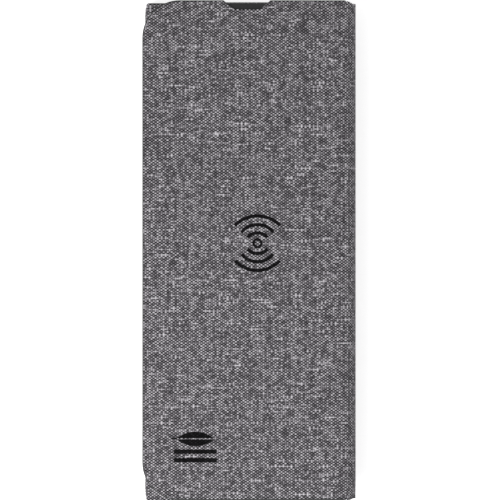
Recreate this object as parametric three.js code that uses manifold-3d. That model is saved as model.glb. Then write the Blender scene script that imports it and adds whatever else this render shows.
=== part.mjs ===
// A fabric-covered desk mat that folds in three, with a wireless charger built into its top panel.
//
// It is drawn folded and lying on a table. The base panel is at the bottom with its front up, the middle
// panel lies on it with its front down, and the charging flap lies on top with its front up. The base and
// middle panels meet at the inner fold on the left, and a soft spine joins the middle panel to the flap on
// the right.
//
// Millimetres, +Z up, +X towards the spine, +Y towards the charger's socket. The origin is on the table,
// under the middle of the folded mat.
import * as THREE from "three";
import { mergeVertices } from "three/addons/utils/BufferGeometryUtils.js";
import Module from "manifold-3d";

const wasm = await Module();
wasm.setup();

// ---------------------------------------------------------------- driving dimensions

// Panels
const PANEL_LENGTH = 200; // along Y
const MIDDLE_WIDTH = 80.45; // of the middle panel, along X
const FLAP_OVERHANG = 1.4; // the flap's free edge stands this far past the middle panel
const BASE_INSET = 0.3; // the base panel's free edge stays this far inside the middle panel
const FABRIC_THICK = 0.5;
const GLUE = 0.05; // film between a fabric and what it is bonded to
const FREE_CORNER_RADIUS = 15; // the two corners away from a fold
const FOLD_CORNER_RADIUS = 1; // the two corners at a fold
const EDGE_BEVEL = 0.6; // pressed edge of a fabric-covered panel
const SEAM_GAP = 0.2; // between the front and back fabrics, half way down a panel's edge

// Folds
const FOLD_GAP = 0.3; // air between two panels that lie on each other
const FOLD_SKEW = 0.8; // the flap lies this much nearer the socket end than the other two panels
const CREASE_GAP = 0.3; // between a panel's edge and the spine
const SPINE_BULGE = 3.35; // how far the spine swells past its creases
const SPINE_FOAM_THICK = 1.0;
const SPINE_LINING_THICK = 0.4;
const HINGE_OFFSET = 0.15; // the inner fold's line lies this far outside the panels' edges
const HINGE_RADIUS = 0.4; // rolled fabric in the inner fold
const HINGE_INSET = 1.5; // the rolled fabric stops this far short of each end

// Closing magnets
const MAGNET_RADIUS = 5;
const MAGNET_THICK = 2;
const MAGNET_CLEARANCE = 0.15;
const MAGNET_SPAN = 120; // between the two magnets of a pair, along Y
const MAGNET_FROM_EDGE = 10.25; // magnet's centre to the free edge of the panel that it closes

// Charger housing
const SHELL_WALL = 1.2; // round the sides
const SHELL_SKIN = 0.8; // top and bottom
const SHELL_GAP = 0.1; // joint between the two shells
const SHELL_CORNER_RADIUS = 6;
const SHELL_CLEARANCE = 0.3; // between the housing and the board round it
const NECK_WIDTH = 24;
const NECK_LENGTH = 8;
const NECK_BEVEL = 0.5; // along the neck's end, top and bottom
const NECK_FROM_EDGE = 1.1; // the neck's end lies this far inside the flap's edge
const SOCKET_X = -0.84; // the neck's middle
const NOTCH_MOUTH = 18.8; // notch in the flap's fabric, at the edge
const NOTCH_FLOOR = 10.8; // and at its inner end
const NOTCH_DEPTH = 3.7;
const NOTCH_ROUND = 0.8; // how far a bend in the notch's outline starts before its corner

// Socket
const SOCKET_WIDTH = 8.94;
const SOCKET_HEIGHT = 3.16;
const SOCKET_METAL = 0.3;
const SOCKET_LENGTH = 7.3;
const SOCKET_RECESS = 0.3; // its mouth lies this far inside the neck's end
const SOCKET_CLEARANCE = 0.3; // between the socket and the housing or circuit board
const SOCKET_WEB = 0.5; // least plastic over and under the socket
const TONGUE_WIDTH = 6.69;
const TONGUE_THICK = 0.7;
const TONGUE_LENGTH = 4.45;
const TONGUE_RECESS = 1; // the tongue's tip lies this far inside the socket's mouth
const TONGUE_CLEARANCE = 0.1; // between the tongue's root block and the socket's metal

// Coil
const COIL_X = 3.44;
const COIL_FROM_NECK_END = 96.4; // coil's centre to the neck's end
const COIL_OUTER_RADIUS = 22;
const COIL_INNER_RADIUS = 10;
const COIL_TURNS = 8;
const COIL_THICK = 1.0;
const COIL_HEADROOM = 0.25; // between the coil and the housing's top
const STRAND_GAP = 0.2; // between two turns
const COIL_END_ANGLE = 0.14; // the strand's outer end stops this many radians before its inner end
const FERRITE_MARGIN = 2; // how far the ferrite reaches past the coil
const FERRITE_THICK = 0.8;
const FERRITE_SLOT = 1.6; // radial slot for the inner lead
const FERRITE_CLEARANCE = 0.5; // between the ferrite and the housing's wall
const PAD_RADIUS = 20;
const PAD_THICK = 1.1; // foam pad that holds the coil up
const OUTER_LEAD_RADIUS = 0.4;
const INNER_LEAD_RADIUS = 0.33;
const LEAD_GAP = 0.1; // between a lead and what it lies on
const LEAD_LANDING = 3; // how far a lead reaches over the circuit board
const LEAD_RAMP = 6; // the inner lead reaches the circuit board's height this far before the board

// Circuit board
const PCB_SIDE_CLEARANCE = 2.5; // between the wide part and the housing's side walls
const PCB_LENGTH = 34;
const PCB_THICK = 0.8;
const PCB_TAB_CLEARANCE = 0.8; // between the part in the neck and the neck's walls
const PCB_TAB_INSET = 3; // from the neck's end
const PCB_CLEARANCE = 1.5; // between the circuit board's wide part and the housing's inner end wall
const BOSS_RADIUS = 2.5;
const BOSS_INSET = 3.2; // boss centre to the circuit board's edges
const PIN_RADIUS = 0.9;
const PIN_CLEARANCE = 0.3;
const CHIP_THICK = 0.85;
const TALL_PART_THICK = 1.0;
const PART_HEADROOM = 0.2; // between the tallest part and the housing's top
const CAPACITOR_COUNT = 4;
const CAPACITOR_PITCH = 3;

// Roundness
const ARC_STEP = 2.4; // longest straight stretch on a round outline
const ROUND_SIDES = 32;
const SPIRAL_SIDES = 28; // straight stretches in each turn of the coil
const LEAD_SIDES = 10;

// ---------------------------------------------------------------- places that follow from them

// The boards are as thick as the housing that lies inside one of them, and the housing is as thick as its
// tallest load: the coil on its pad, the socket, or the circuit board with parts on it.
const coilLoad = PAD_THICK + FERRITE_THICK + COIL_THICK + 3 * GLUE + COIL_HEADROOM;
const circuitLoad = PCB_THICK + 2 * (GLUE + TALL_PART_THICK + PART_HEADROOM);
const socketLoad = SOCKET_HEIGHT + 2 * (SOCKET_CLEARANCE + SOCKET_WEB) - 2 * SHELL_SKIN;
const BOARD_THICK = 2 * SHELL_SKIN + Math.max(coilLoad, circuitLoad, socketLoad);
const PANEL_THICK = BOARD_THICK + 2 * (GLUE + FABRIC_THICK);
const PANEL_PITCH = PANEL_THICK + FOLD_GAP;
const FLAP_WIDTH = MIDDLE_WIDTH + FLAP_OVERHANG;
const CREASE_X = (FLAP_WIDTH + CREASE_GAP - SPINE_BULGE) / 2;
const PANEL_RIGHT_X = CREASE_X - CREASE_GAP;
const MIDDLE_LEFT_X = PANEL_RIGHT_X - MIDDLE_WIDTH;
const FLAP_LEFT_X = PANEL_RIGHT_X - FLAP_WIDTH;
const BASE_RIGHT_X = PANEL_RIGHT_X - BASE_INSET;
const HALF_LENGTH = PANEL_LENGTH / 2;
const BOARD_BOTTOM = FABRIC_THICK + GLUE;
const FERRITE_RADIUS = COIL_OUTER_RADIUS + FERRITE_MARGIN;
const PCB_WIDTH = 2 * (FERRITE_RADIUS + FERRITE_CLEARANCE - PCB_SIDE_CLEARANCE);
const PCB_TAB_WIDTH = NECK_WIDTH - 2 * (SHELL_WALL + PCB_TAB_CLEARANCE);

const basePlan = {
  left: MIDDLE_LEFT_X,
  right: BASE_RIGHT_X,
  leftRadius: FOLD_CORNER_RADIUS,
  rightRadius: FREE_CORNER_RADIUS,
};
const middlePlan = {
  left: MIDDLE_LEFT_X,
  right: PANEL_RIGHT_X,
  leftRadius: FOLD_CORNER_RADIUS,
  rightRadius: FOLD_CORNER_RADIUS,
};
const flapPlan = {
  left: FLAP_LEFT_X,
  right: PANEL_RIGHT_X,
  leftRadius: FREE_CORNER_RADIUS,
  rightRadius: FOLD_CORNER_RADIUS,
};

// ---------------------------------------------------------------- materials

function paint(color, roughness, metalness = 0) {
  return new THREE.MeshStandardMaterial({ color, roughness, metalness });
}

const greyFabric = paint(0x716e73, 0.95);
const greyBoard = paint(0x8d8579, 0.9);
const darkFoam = paint(0x3a3a3c, 0.95);
const blackPlastic = paint(0x1d1d1f, 0.5);
const steel = paint(0xb9bcc0, 0.3, 1);
const magnetNickel = paint(0xc4c4c8, 0.25, 1);
const ferriteBlack = paint(0x2b2b2e, 0.7);
const copper = paint(0xb4693c, 0.35, 1);
const circuitGreen = paint(0x1f5a3a, 0.5);
const ceramicTan = paint(0xa98f6c, 0.6);

// ---------------------------------------------------------------- solids

// A closed geometry as a manifold solid, with its shared corners merged.
function toSolid(geometry) {
  const bare = geometry.clone();
  bare.deleteAttribute("normal");
  bare.deleteAttribute("uv");
  const merged = mergeVertices(bare, 1e-4);
  return new wasm.Manifold(
    new wasm.Mesh({
      numProp: 3,
      vertProperties: merged.attributes.position.array,
      triVerts: new Uint32Array(merged.index.array),
    }),
  );
}

function toGeometry(solid) {
  const mesh = solid.getMesh();
  const geometry = new THREE.BufferGeometry();
  geometry.setAttribute("position", new THREE.BufferAttribute(mesh.vertProperties, 3));
  geometry.setIndex(new THREE.BufferAttribute(mesh.triVerts, 1));
  geometry.computeVertexNormals();
  return geometry;
}

// An upright slab of a plan outline, from one height to another, with an optional bevel on both faces.
function slab(outline, bottom, top, bevel = 0) {
  const geometry = new THREE.ExtrudeGeometry(outline, {
    depth: top - bottom - 2 * bevel,
    bevelEnabled: bevel > 0,
    bevelThickness: bevel,
    bevelSize: bevel,
    bevelOffset: -bevel,
    bevelSegments: 1,
  });
  return geometry.translate(0, 0, bottom + bevel);
}

// A bar that runs along Y, with its section drawn in X and Z.
function bar(section, near, far) {
  const geometry = new THREE.ExtrudeGeometry(section, {
    depth: far - near,
    bevelEnabled: false,
  });
  return geometry.rotateX(Math.PI / 2).translate(0, far, 0);
}

function box(left, right, near, far, bottom, top) {
  const geometry = new THREE.BoxGeometry(right - left, far - near, top - bottom);
  return geometry.translate((left + right) / 2, (near + far) / 2, (bottom + top) / 2);
}

// An upright disc that stands on its bottom height.
function disc(x, y, radius, bottom, top) {
  const geometry = new THREE.CylinderGeometry(radius, radius, top - bottom, ROUND_SIDES);
  return geometry.rotateX(Math.PI / 2).translate(x, y, (bottom + top) / 2);
}

// ---------------------------------------------------------------- outlines

// Points on a round corner, from one angle to another.
function cornerPoints(x, y, radius, from, to) {
  const quarters = Math.ceil(Math.abs(to - from) / (Math.PI / 2));
  const steps = quarters * Math.max(2, Math.ceil((radius * Math.PI) / 2 / ARC_STEP));
  const points = [];
  for (let i = 0; i <= steps; i++) {
    const angle = from + ((to - from) * i) / steps;
    points.push(new THREE.Vector2(x + radius * Math.cos(angle), y + radius * Math.sin(angle)));
  }
  return points;
}

// A rectangle with round corners, its left two and right two each with their own radius.
function roundedPlan(left, right, near, far, leftRadius, rightRadius) {
  const quarter = Math.PI / 2;
  return new THREE.Shape([
    ...cornerPoints(right - rightRadius, near + rightRadius, rightRadius, -quarter, 0),
    ...cornerPoints(right - rightRadius, far - rightRadius, rightRadius, 0, quarter),
    ...cornerPoints(left + leftRadius, far - leftRadius, leftRadius, quarter, 2 * quarter),
    ...cornerPoints(left + leftRadius, near + leftRadius, leftRadius, 2 * quarter, 3 * quarter),
  ]);
}

// A panel's outline, drawn in from its edge by an inset.
function panelOutline(plan, inset) {
  return roundedPlan(
    plan.left + inset,
    plan.right - inset,
    -HALF_LENGTH + inset,
    HALF_LENGTH - inset,
    Math.max(plan.leftRadius - inset, FOLD_CORNER_RADIUS / 4),
    Math.max(plan.rightRadius - inset, FOLD_CORNER_RADIUS / 4),
  );
}

// ---------------------------------------------------------------- scene graph

const mat = new THREE.Group();
const basePanel = new THREE.Group();
const middlePanel = new THREE.Group();
const spine = new THREE.Group();
const flap = new THREE.Group();
const charger = new THREE.Group();
const coilStack = new THREE.Group();

basePanel.position.set(0, -FOLD_SKEW / 2, 0);
middlePanel.position.set(0, -FOLD_SKEW / 2, PANEL_PITCH);
spine.position.set(CREASE_X, 0, PANEL_PITCH);
flap.position.set(0, FOLD_SKEW / 2, 2 * PANEL_PITCH);
charger.position.set(SOCKET_X, HALF_LENGTH - NECK_FROM_EDGE, BOARD_BOTTOM);
coilStack.position.set(COIL_X - SOCKET_X, -COIL_FROM_NECK_END, 0);
mat.add(basePanel, middlePanel, spine, flap);
flap.add(charger);
charger.add(coilStack);

function addPiece(group, name, geometry, material) {
  const mesh = new THREE.Mesh(geometry, material);
  mesh.name = name;
  group.add(mesh);
  return mesh;
}

// ---------------------------------------------------------------- panels

// The two fabrics of a panel: shallow trays that meet at a seam half way down the panel's edge.
function fabricTrays(plan) {
  const outside = toSolid(slab(panelOutline(plan, 0), 0, PANEL_THICK, EDGE_BEVEL));
  const inside = toSolid(
    slab(panelOutline(plan, FABRIC_THICK), FABRIC_THICK, PANEL_THICK - FABRIC_THICK),
  );
  const seam = PANEL_THICK / 2;
  const reach = PANEL_LENGTH + MIDDLE_WIDTH;
  const above = toSolid(box(-reach, reach, -reach, reach, seam + SEAM_GAP / 2, 2 * PANEL_THICK));
  const below = toSolid(box(-reach, reach, -reach, reach, -PANEL_THICK, seam - SEAM_GAP / 2));
  return {
    upper: outside.intersect(above).subtract(inside),
    lower: outside.intersect(below).subtract(inside),
  };
}

function boardSolid(plan) {
  return toSolid(
    slab(panelOutline(plan, FABRIC_THICK + GLUE), BOARD_BOTTOM, BOARD_BOTTOM + BOARD_THICK),
  );
}

// Cuts a magnet's pocket into one face of a board and adds the magnet. Returns the board that is left.
function seatMagnet(group, board, name, x, y, faceUp) {
  const boardTop = BOARD_BOTTOM + BOARD_THICK;
  const depth = MAGNET_THICK + MAGNET_CLEARANCE;
  const pocketBottom = faceUp ? boardTop - depth : BOARD_BOTTOM - depth;
  const pocketTop = faceUp ? boardTop + depth : BOARD_BOTTOM + depth;
  const pocket = disc(x, y, MAGNET_RADIUS + MAGNET_CLEARANCE, pocketBottom, pocketTop);
  const bottom = faceUp ? boardTop - MAGNET_THICK : BOARD_BOTTOM;
  const magnet = disc(x, y, MAGNET_RADIUS, bottom, bottom + MAGNET_THICK);
  addPiece(group, name, magnet, magnetNickel);
  return board.subtract(toSolid(pocket));
}

const flapMagnetX = FLAP_LEFT_X + MAGNET_FROM_EDGE;
const baseMagnetX = BASE_RIGHT_X - MAGNET_FROM_EDGE;
const magnetYs = [-MAGNET_SPAN / 2, MAGNET_SPAN / 2];

// Base panel: front up, its magnets under the front fabric.
const baseTrays = fabricTrays(basePlan);
let baseBoard = boardSolid(basePlan);
magnetYs.forEach((y, i) => {
  baseBoard = seatMagnet(basePanel, baseBoard, `base_magnet_${i + 1}`, baseMagnetX, y, true);
});
addPiece(basePanel, "base_front_fabric", toGeometry(baseTrays.upper), greyFabric);
addPiece(basePanel, "base_back_fabric", toGeometry(baseTrays.lower), greyFabric);
addPiece(basePanel, "base_board", toGeometry(baseBoard), greyBoard);

// Middle panel: front down. One pair of magnets faces the base panel, the other the flap.
const middleTrays = fabricTrays(middlePlan);
let middleBoard = boardSolid(middlePlan);
magnetYs.forEach((y, i) => {
  const toBase = `middle_base_magnet_${i + 1}`;
  const toFlap = `middle_flap_magnet_${i + 1}`;
  middleBoard = seatMagnet(middlePanel, middleBoard, toBase, baseMagnetX, y, false);
  middleBoard = seatMagnet(middlePanel, middleBoard, toFlap, flapMagnetX, y, true);
});
addPiece(middlePanel, "middle_front_fabric", toGeometry(middleTrays.lower), greyFabric);
addPiece(middlePanel, "middle_back_fabric", toGeometry(middleTrays.upper), greyFabric);
addPiece(middlePanel, "middle_board", toGeometry(middleBoard), greyBoard);

// ---------------------------------------------------------------- inner fold

// Rolled fabric on the fold's line. The panels' bevels leave it a round channel, whichever way they lie.
const foldX = MIDDLE_LEFT_X - HINGE_OFFSET;
const foldZ = PANEL_THICK + FOLD_GAP / 2;
const rollSection = new THREE.Shape(
  cornerPoints(foldX, foldZ, HINGE_RADIUS, 0, 2 * Math.PI).slice(0, -1),
);
const innerRoll = bar(rollSection, -HALF_LENGTH + HINGE_INSET, HALF_LENGTH - HINGE_INSET);
addPiece(basePanel, "inner_fold_roll", innerRoll, greyFabric);

// ---------------------------------------------------------------- spine

// The spine's section is a shallow C between two creases, drawn from the lower crease at 0, 0. A layer of it
// lies between two depths below the outside face, and each layer stops at the creases' plane.
function spineLayer(outerDepth, innerDepth) {
  const top = 2 * PANEL_THICK + FOLD_GAP;
  const cornerAt = Math.tan(Math.PI / 8);
  const edge = (depth) => [
    new THREE.Vector2(0, depth * Math.SQRT2),
    new THREE.Vector2(SPINE_BULGE - depth, SPINE_BULGE + depth * cornerAt),
    new THREE.Vector2(SPINE_BULGE - depth, top - SPINE_BULGE - depth * cornerAt),
    new THREE.Vector2(0, top - depth * Math.SQRT2),
  ];
  const section = new THREE.Shape([...edge(outerDepth), ...edge(innerDepth).reverse()]);
  return bar(section, -HALF_LENGTH, HALF_LENGTH);
}

const foamDepth = FABRIC_THICK + GLUE;
const liningDepth = foamDepth + SPINE_FOAM_THICK + GLUE;
addPiece(spine, "spine_outer_fabric", spineLayer(0, FABRIC_THICK), greyFabric);
addPiece(spine, "spine_foam", spineLayer(foamDepth, foamDepth + SPINE_FOAM_THICK), darkFoam);
const liningFace = liningDepth + SPINE_LINING_THICK;
addPiece(spine, "spine_lining", spineLayer(liningDepth, liningFace), greyFabric);

// ---------------------------------------------------------------- charging flap

// The charger's group has its origin at the bottom of the neck's end, and the housing runs towards -Y.
const coilLocalX = COIL_X - SOCKET_X;
const housingHalf = FERRITE_RADIUS + FERRITE_CLEARANCE + SHELL_WALL;
const housingNear = -COIL_FROM_NECK_END - housingHalf;

// The housing's outside from one height to another, grown by an allowance and moved to a place. Its neck
// may run on past the real end.
function housingSolid(grow, bottom, top, neckEnd, place) {
  const body = roundedPlan(
    coilLocalX - housingHalf - grow,
    coilLocalX + housingHalf + grow,
    housingNear - grow,
    -NECK_LENGTH + grow,
    SHELL_CORNER_RADIUS + grow,
    SHELL_CORNER_RADIUS + grow,
  );
  const neckHalf = NECK_WIDTH / 2 + grow;
  const neckNear = -NECK_LENGTH - SHELL_CORNER_RADIUS;
  const bodySlab = slab(body, bottom, top).translate(place.x, place.y, 0);
  const neck = box(-neckHalf, neckHalf, neckNear, neckEnd, bottom, top).translate(place.x, place.y, 0);
  return toSolid(bodySlab).add(toSolid(neck));
}

// Fabric notch over the neck: a wide mouth at the edge and slanted sides, with each bend softened.
function notchOutline() {
  const outside = 2 * NOTCH_DEPTH;
  const mouth = new THREE.Vector2(NOTCH_MOUTH / 2, 0);
  const floor = new THREE.Vector2(NOTCH_FLOOR / 2, -NOTCH_DEPTH);
  const side = mouth.clone().sub(floor).setLength(NOTCH_ROUND);
  const outline = new THREE.Shape();
  outline.moveTo(mouth.x + NOTCH_ROUND, outside);
  outline.lineTo(-mouth.x - NOTCH_ROUND, outside);
  outline.lineTo(-mouth.x - NOTCH_ROUND, 0);
  outline.quadraticCurveTo(-mouth.x, 0, -mouth.x + side.x, -side.y);
  outline.lineTo(-floor.x - side.x, floor.y + side.y);
  outline.quadraticCurveTo(-floor.x, floor.y, -floor.x + NOTCH_ROUND, floor.y);
  outline.lineTo(floor.x - NOTCH_ROUND, floor.y);
  outline.quadraticCurveTo(floor.x, floor.y, floor.x + side.x, floor.y + side.y);
  outline.lineTo(mouth.x - side.x, -side.y);
  outline.quadraticCurveTo(mouth.x, 0, mouth.x + NOTCH_ROUND, 0);
  return new THREE.Shape(outline.getPoints(4));
}

const flapTrays = fabricTrays(flapPlan);
const notch = slab(notchOutline(), -PANEL_THICK, 2 * PANEL_THICK);
notch.translate(SOCKET_X, HALF_LENGTH, 0);
const skirtGap = box(
  SOCKET_X - NOTCH_MOUTH / 2,
  SOCKET_X + NOTCH_MOUTH / 2,
  HALF_LENGTH - FABRIC_THICK - GLUE,
  HALF_LENGTH + PANEL_THICK,
  -PANEL_THICK,
  2 * PANEL_THICK,
);
const flapFront = flapTrays.upper.subtract(toSolid(notch));
const flapBack = flapTrays.lower.subtract(toSolid(skirtGap));

let flapBoard = boardSolid(flapPlan);
magnetYs.forEach((y, i) => {
  const localY = y - FOLD_SKEW;
  flapBoard = seatMagnet(flap, flapBoard, `flap_magnet_${i + 1}`, flapMagnetX, localY, false);
});
const boardWindow = housingSolid(
  SHELL_CLEARANCE,
  -PANEL_THICK,
  2 * PANEL_THICK,
  PANEL_THICK,
  charger.position,
);
flapBoard = flapBoard.subtract(boardWindow);

addPiece(flap, "flap_front_fabric", toGeometry(flapFront), greyFabric);
addPiece(flap, "flap_back_fabric", toGeometry(flapBack), greyFabric);
addPiece(flap, "flap_board", toGeometry(flapBoard), greyBoard);

// ---------------------------------------------------------------- charger housing

const housingTop = BOARD_THICK;
const housingMiddle = housingTop / 2;
const pcbBottom = housingMiddle - PCB_THICK / 2;
const pcbTop = housingMiddle + PCB_THICK / 2;
const pcbFar = -NECK_LENGTH - SHELL_WALL - PCB_CLEARANCE;
const pcbNear = pcbFar - PCB_LENGTH;

// A slot or tube section with half-round ends, centred on 0, 0.
function stadium(width, height) {
  const radius = height / 2;
  const centre = width / 2 - radius;
  return [
    ...cornerPoints(centre, 0, radius, -Math.PI / 2, Math.PI / 2),
    ...cornerPoints(-centre, 0, radius, Math.PI / 2, (3 * Math.PI) / 2),
  ];
}

function stadiumBar(width, height, near, far) {
  const section = new THREE.Shape(stadium(width, height));
  return bar(section, near, far).translate(0, 0, housingMiddle);
}

// Four places near the corners of the circuit board, for its bosses and pins.
const bossPlaces = [-1, 1].flatMap((side) =>
  [pcbNear + BOSS_INSET, pcbFar - BOSS_INSET].map((y) => ({
    x: coilLocalX + side * (PCB_WIDTH / 2 - BOSS_INSET),
    y,
  })),
);

// The neck's end has its top and bottom edges bevelled.
function neckBevel(height) {
  const half = NECK_BEVEL / Math.SQRT2;
  const cutter = box(-NECK_WIDTH, NECK_WIDTH, -half, half, -half, half).rotateX(Math.PI / 4);
  return toSolid(cutter.translate(0, 0, height));
}

const cavity = toSolid(
  slab(
    roundedPlan(
      coilLocalX - housingHalf + SHELL_WALL,
      coilLocalX + housingHalf - SHELL_WALL,
      housingNear + SHELL_WALL,
      -NECK_LENGTH - SHELL_WALL,
      SHELL_CORNER_RADIUS - SHELL_WALL,
      SHELL_CORNER_RADIUS - SHELL_WALL,
    ),
    SHELL_SKIN,
    housingTop - SHELL_SKIN,
  ),
).add(
  toSolid(
    box(
      -NECK_WIDTH / 2 + SHELL_WALL,
      NECK_WIDTH / 2 - SHELL_WALL,
      -NECK_LENGTH - 2 * SHELL_WALL,
      -SHELL_WALL,
      SHELL_SKIN,
      housingTop - SHELL_SKIN,
    ),
  ),
);
const socketSlot = toSolid(
  stadiumBar(
    SOCKET_WIDTH + 2 * SOCKET_CLEARANCE,
    SOCKET_HEIGHT + 2 * SOCKET_CLEARANCE,
    -NECK_LENGTH,
    NECK_LENGTH,
  ),
);
const housing = housingSolid(0, 0, housingTop, 0, new THREE.Vector3())
  .subtract(neckBevel(0))
  .subtract(neckBevel(housingTop))
  .subtract(cavity)
  .subtract(socketSlot);
const reachOut = 2 * COIL_FROM_NECK_END;
const upperHalf = box(
  -reachOut,
  reachOut,
  -reachOut,
  reachOut,
  housingMiddle + SHELL_GAP / 2,
  2 * housingTop,
);
const lowerHalf = box(
  -reachOut,
  reachOut,
  -reachOut,
  reachOut,
  -housingTop,
  housingMiddle - SHELL_GAP / 2,
);
const upperShell = housing.intersect(toSolid(upperHalf));
let lowerShell = housing.intersect(toSolid(lowerHalf));
for (const { x, y } of bossPlaces) {
  const boss = disc(x, y, BOSS_RADIUS, SHELL_SKIN / 2, pcbBottom - GLUE);
  const pin = disc(x, y, PIN_RADIUS, SHELL_SKIN / 2, pcbTop + PIN_CLEARANCE);
  lowerShell = lowerShell.add(toSolid(boss)).add(toSolid(pin));
}
addPiece(charger, "charger_upper_shell", toGeometry(upperShell), blackPlastic);
addPiece(charger, "charger_lower_shell", toGeometry(lowerShell), blackPlastic);

// ---------------------------------------------------------------- socket

const socketFar = -SOCKET_RECESS;
const socketNear = socketFar - SOCKET_LENGTH;
const socketInside = {
  width: SOCKET_WIDTH - 2 * SOCKET_METAL,
  height: SOCKET_HEIGHT - 2 * SOCKET_METAL,
};
const socketBore = stadiumBar(
  socketInside.width,
  socketInside.height,
  socketNear + SOCKET_METAL,
  NECK_LENGTH,
);
const socketShell = toSolid(
  stadiumBar(SOCKET_WIDTH, SOCKET_HEIGHT, socketNear, socketFar),
).subtract(toSolid(socketBore));
addPiece(charger, "socket_shell", toGeometry(socketShell), steel);

const rootNear = socketNear + SOCKET_METAL + TONGUE_CLEARANCE;
const rootFar = socketFar - TONGUE_RECESS - TONGUE_LENGTH;
const tongueRoot = stadiumBar(
  socketInside.width - 2 * TONGUE_CLEARANCE,
  socketInside.height - 2 * TONGUE_CLEARANCE,
  rootNear,
  rootFar,
);
const tongueBlade = box(
  -TONGUE_WIDTH / 2,
  TONGUE_WIDTH / 2,
  rootFar - SOCKET_METAL,
  rootFar + TONGUE_LENGTH,
  housingMiddle - TONGUE_THICK / 2,
  housingMiddle + TONGUE_THICK / 2,
);
const socketTongue = toSolid(tongueRoot).add(toSolid(tongueBlade));
addPiece(charger, "socket_tongue", toGeometry(socketTongue), blackPlastic);

// ---------------------------------------------------------------- circuit board

// A wide part with a tab into the neck. The tab is forked round the socket, which sinks into it.
function circuitOutline() {
  const left = coilLocalX - PCB_WIDTH / 2;
  const right = coilLocalX + PCB_WIDTH / 2;
  const tab = PCB_TAB_WIDTH / 2;
  const fork = SOCKET_WIDTH / 2 + SOCKET_CLEARANCE;
  const forkNear = socketNear - SOCKET_CLEARANCE;
  const corners = [
    [left, pcbNear],
    [right, pcbNear],
    [right, pcbFar],
    [tab, pcbFar],
    [tab, -PCB_TAB_INSET],
    [fork, -PCB_TAB_INSET],
    [fork, forkNear],
    [-fork, forkNear],
    [-fork, -PCB_TAB_INSET],
    [-tab, -PCB_TAB_INSET],
    [-tab, pcbFar],
    [left, pcbFar],
  ];
  return new THREE.Shape(corners.map(([x, y]) => new THREE.Vector2(x, y)));
}

let circuitBoard = toSolid(slab(circuitOutline(), pcbBottom, pcbTop));
for (const { x, y } of bossPlaces) {
  const hole = disc(x, y, PIN_RADIUS + PIN_CLEARANCE, 0, housingTop);
  circuitBoard = circuitBoard.subtract(toSolid(hole));
}
addPiece(charger, "circuit_board", toGeometry(circuitBoard), circuitGreen);

// Components on the circuit board, placed from the middle of its wide part.
const components = [
  { name: "controller_chip", x: -2, y: 3, width: 7, length: 7, height: CHIP_THICK, made: blackPlastic },
  { name: "bridge_chip", x: -2, y: -7, width: 5, length: 5, height: CHIP_THICK, made: blackPlastic },
  { name: "power_inductor", x: 8, y: 4, width: 5, length: 5, height: TALL_PART_THICK, made: ferriteBlack },
];
for (let i = 0; i < CAPACITOR_COUNT; i++) {
  components.push({
    name: `resonant_capacitor_${i + 1}`,
    x: -16 + i * CAPACITOR_PITCH,
    y: -9,
    width: 1.6,
    length: 3.2,
    height: TALL_PART_THICK,
    made: ceramicTan,
  });
}
for (const part of components) {
  const geometry = new THREE.BoxGeometry(part.width, part.length, part.height);
  const mesh = addPiece(charger, part.name, geometry, part.made);
  const y = (pcbNear + pcbFar) / 2 + part.y;
  mesh.position.set(coilLocalX + part.x, y, pcbTop + GLUE + part.height / 2);
}

// ---------------------------------------------------------------- coil

// The coil's group has its origin under the coil's centre, at the bottom of the housing.
const padBottom = SHELL_SKIN + GLUE;
const ferriteBottom = padBottom + PAD_THICK + GLUE;
const coilBottom = ferriteBottom + FERRITE_THICK + GLUE;

const foamPad = disc(0, 0, PAD_RADIUS, padBottom, padBottom + PAD_THICK);
addPiece(coilStack, "coil_foam_pad", foamPad, darkFoam);

const leadSlot = box(
  -FERRITE_SLOT / 2,
  FERRITE_SLOT / 2,
  COIL_INNER_RADIUS - 2 * INNER_LEAD_RADIUS,
  2 * FERRITE_RADIUS,
  0,
  2 * housingTop,
);
const ferrite = toSolid(
  disc(0, 0, FERRITE_RADIUS, ferriteBottom, ferriteBottom + FERRITE_THICK),
).subtract(toSolid(leadSlot));
addPiece(coilStack, "ferrite_shield", toGeometry(ferrite), ferriteBlack);

// A flat spiral strand that starts and ends on the side of the circuit board.
const turnPitch = (COIL_OUTER_RADIUS - COIL_INNER_RADIUS + STRAND_GAP) / COIL_TURNS;
const strandWidth = turnPitch - STRAND_GAP;
const startAngle = Math.PI / 2;
const endAngle = startAngle + 2 * Math.PI * (COIL_TURNS - 1) - COIL_END_ANGLE;

function spiralPoint(angle, side) {
  const turns = (angle - startAngle) / (2 * Math.PI);
  const radius = COIL_INNER_RADIUS + strandWidth / 2 + turns * turnPitch + (side * strandWidth) / 2;
  return new THREE.Vector2(radius * Math.cos(angle), radius * Math.sin(angle));
}

const spiralSteps = SPIRAL_SIDES * (COIL_TURNS - 1);
const outerSide = [];
const innerSide = [];
for (let i = 0; i <= spiralSteps; i++) {
  const angle = startAngle + ((endAngle - startAngle) * i) / spiralSteps;
  outerSide.push(spiralPoint(angle, 1));
  innerSide.push(spiralPoint(angle, -1));
}
const spiral = slab(
  new THREE.Shape([...outerSide, ...innerSide.reverse()]),
  coilBottom,
  coilBottom + COIL_THICK,
);
addPiece(coilStack, "charging_coil", spiral, copper);

// A lead is a round wire along a curve to the circuit board's top face.
function leadGeometry(path, radius, steps) {
  const section = [];
  for (let i = 0; i < LEAD_SIDES; i++) {
    const angle = (2 * Math.PI * i) / LEAD_SIDES;
    section.push(new THREE.Vector2(radius * Math.cos(angle), radius * Math.sin(angle)));
  }
  return new THREE.ExtrudeGeometry(new THREE.Shape(section), {
    steps,
    extrudePath: path,
    bevelEnabled: false,
  });
}

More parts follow.
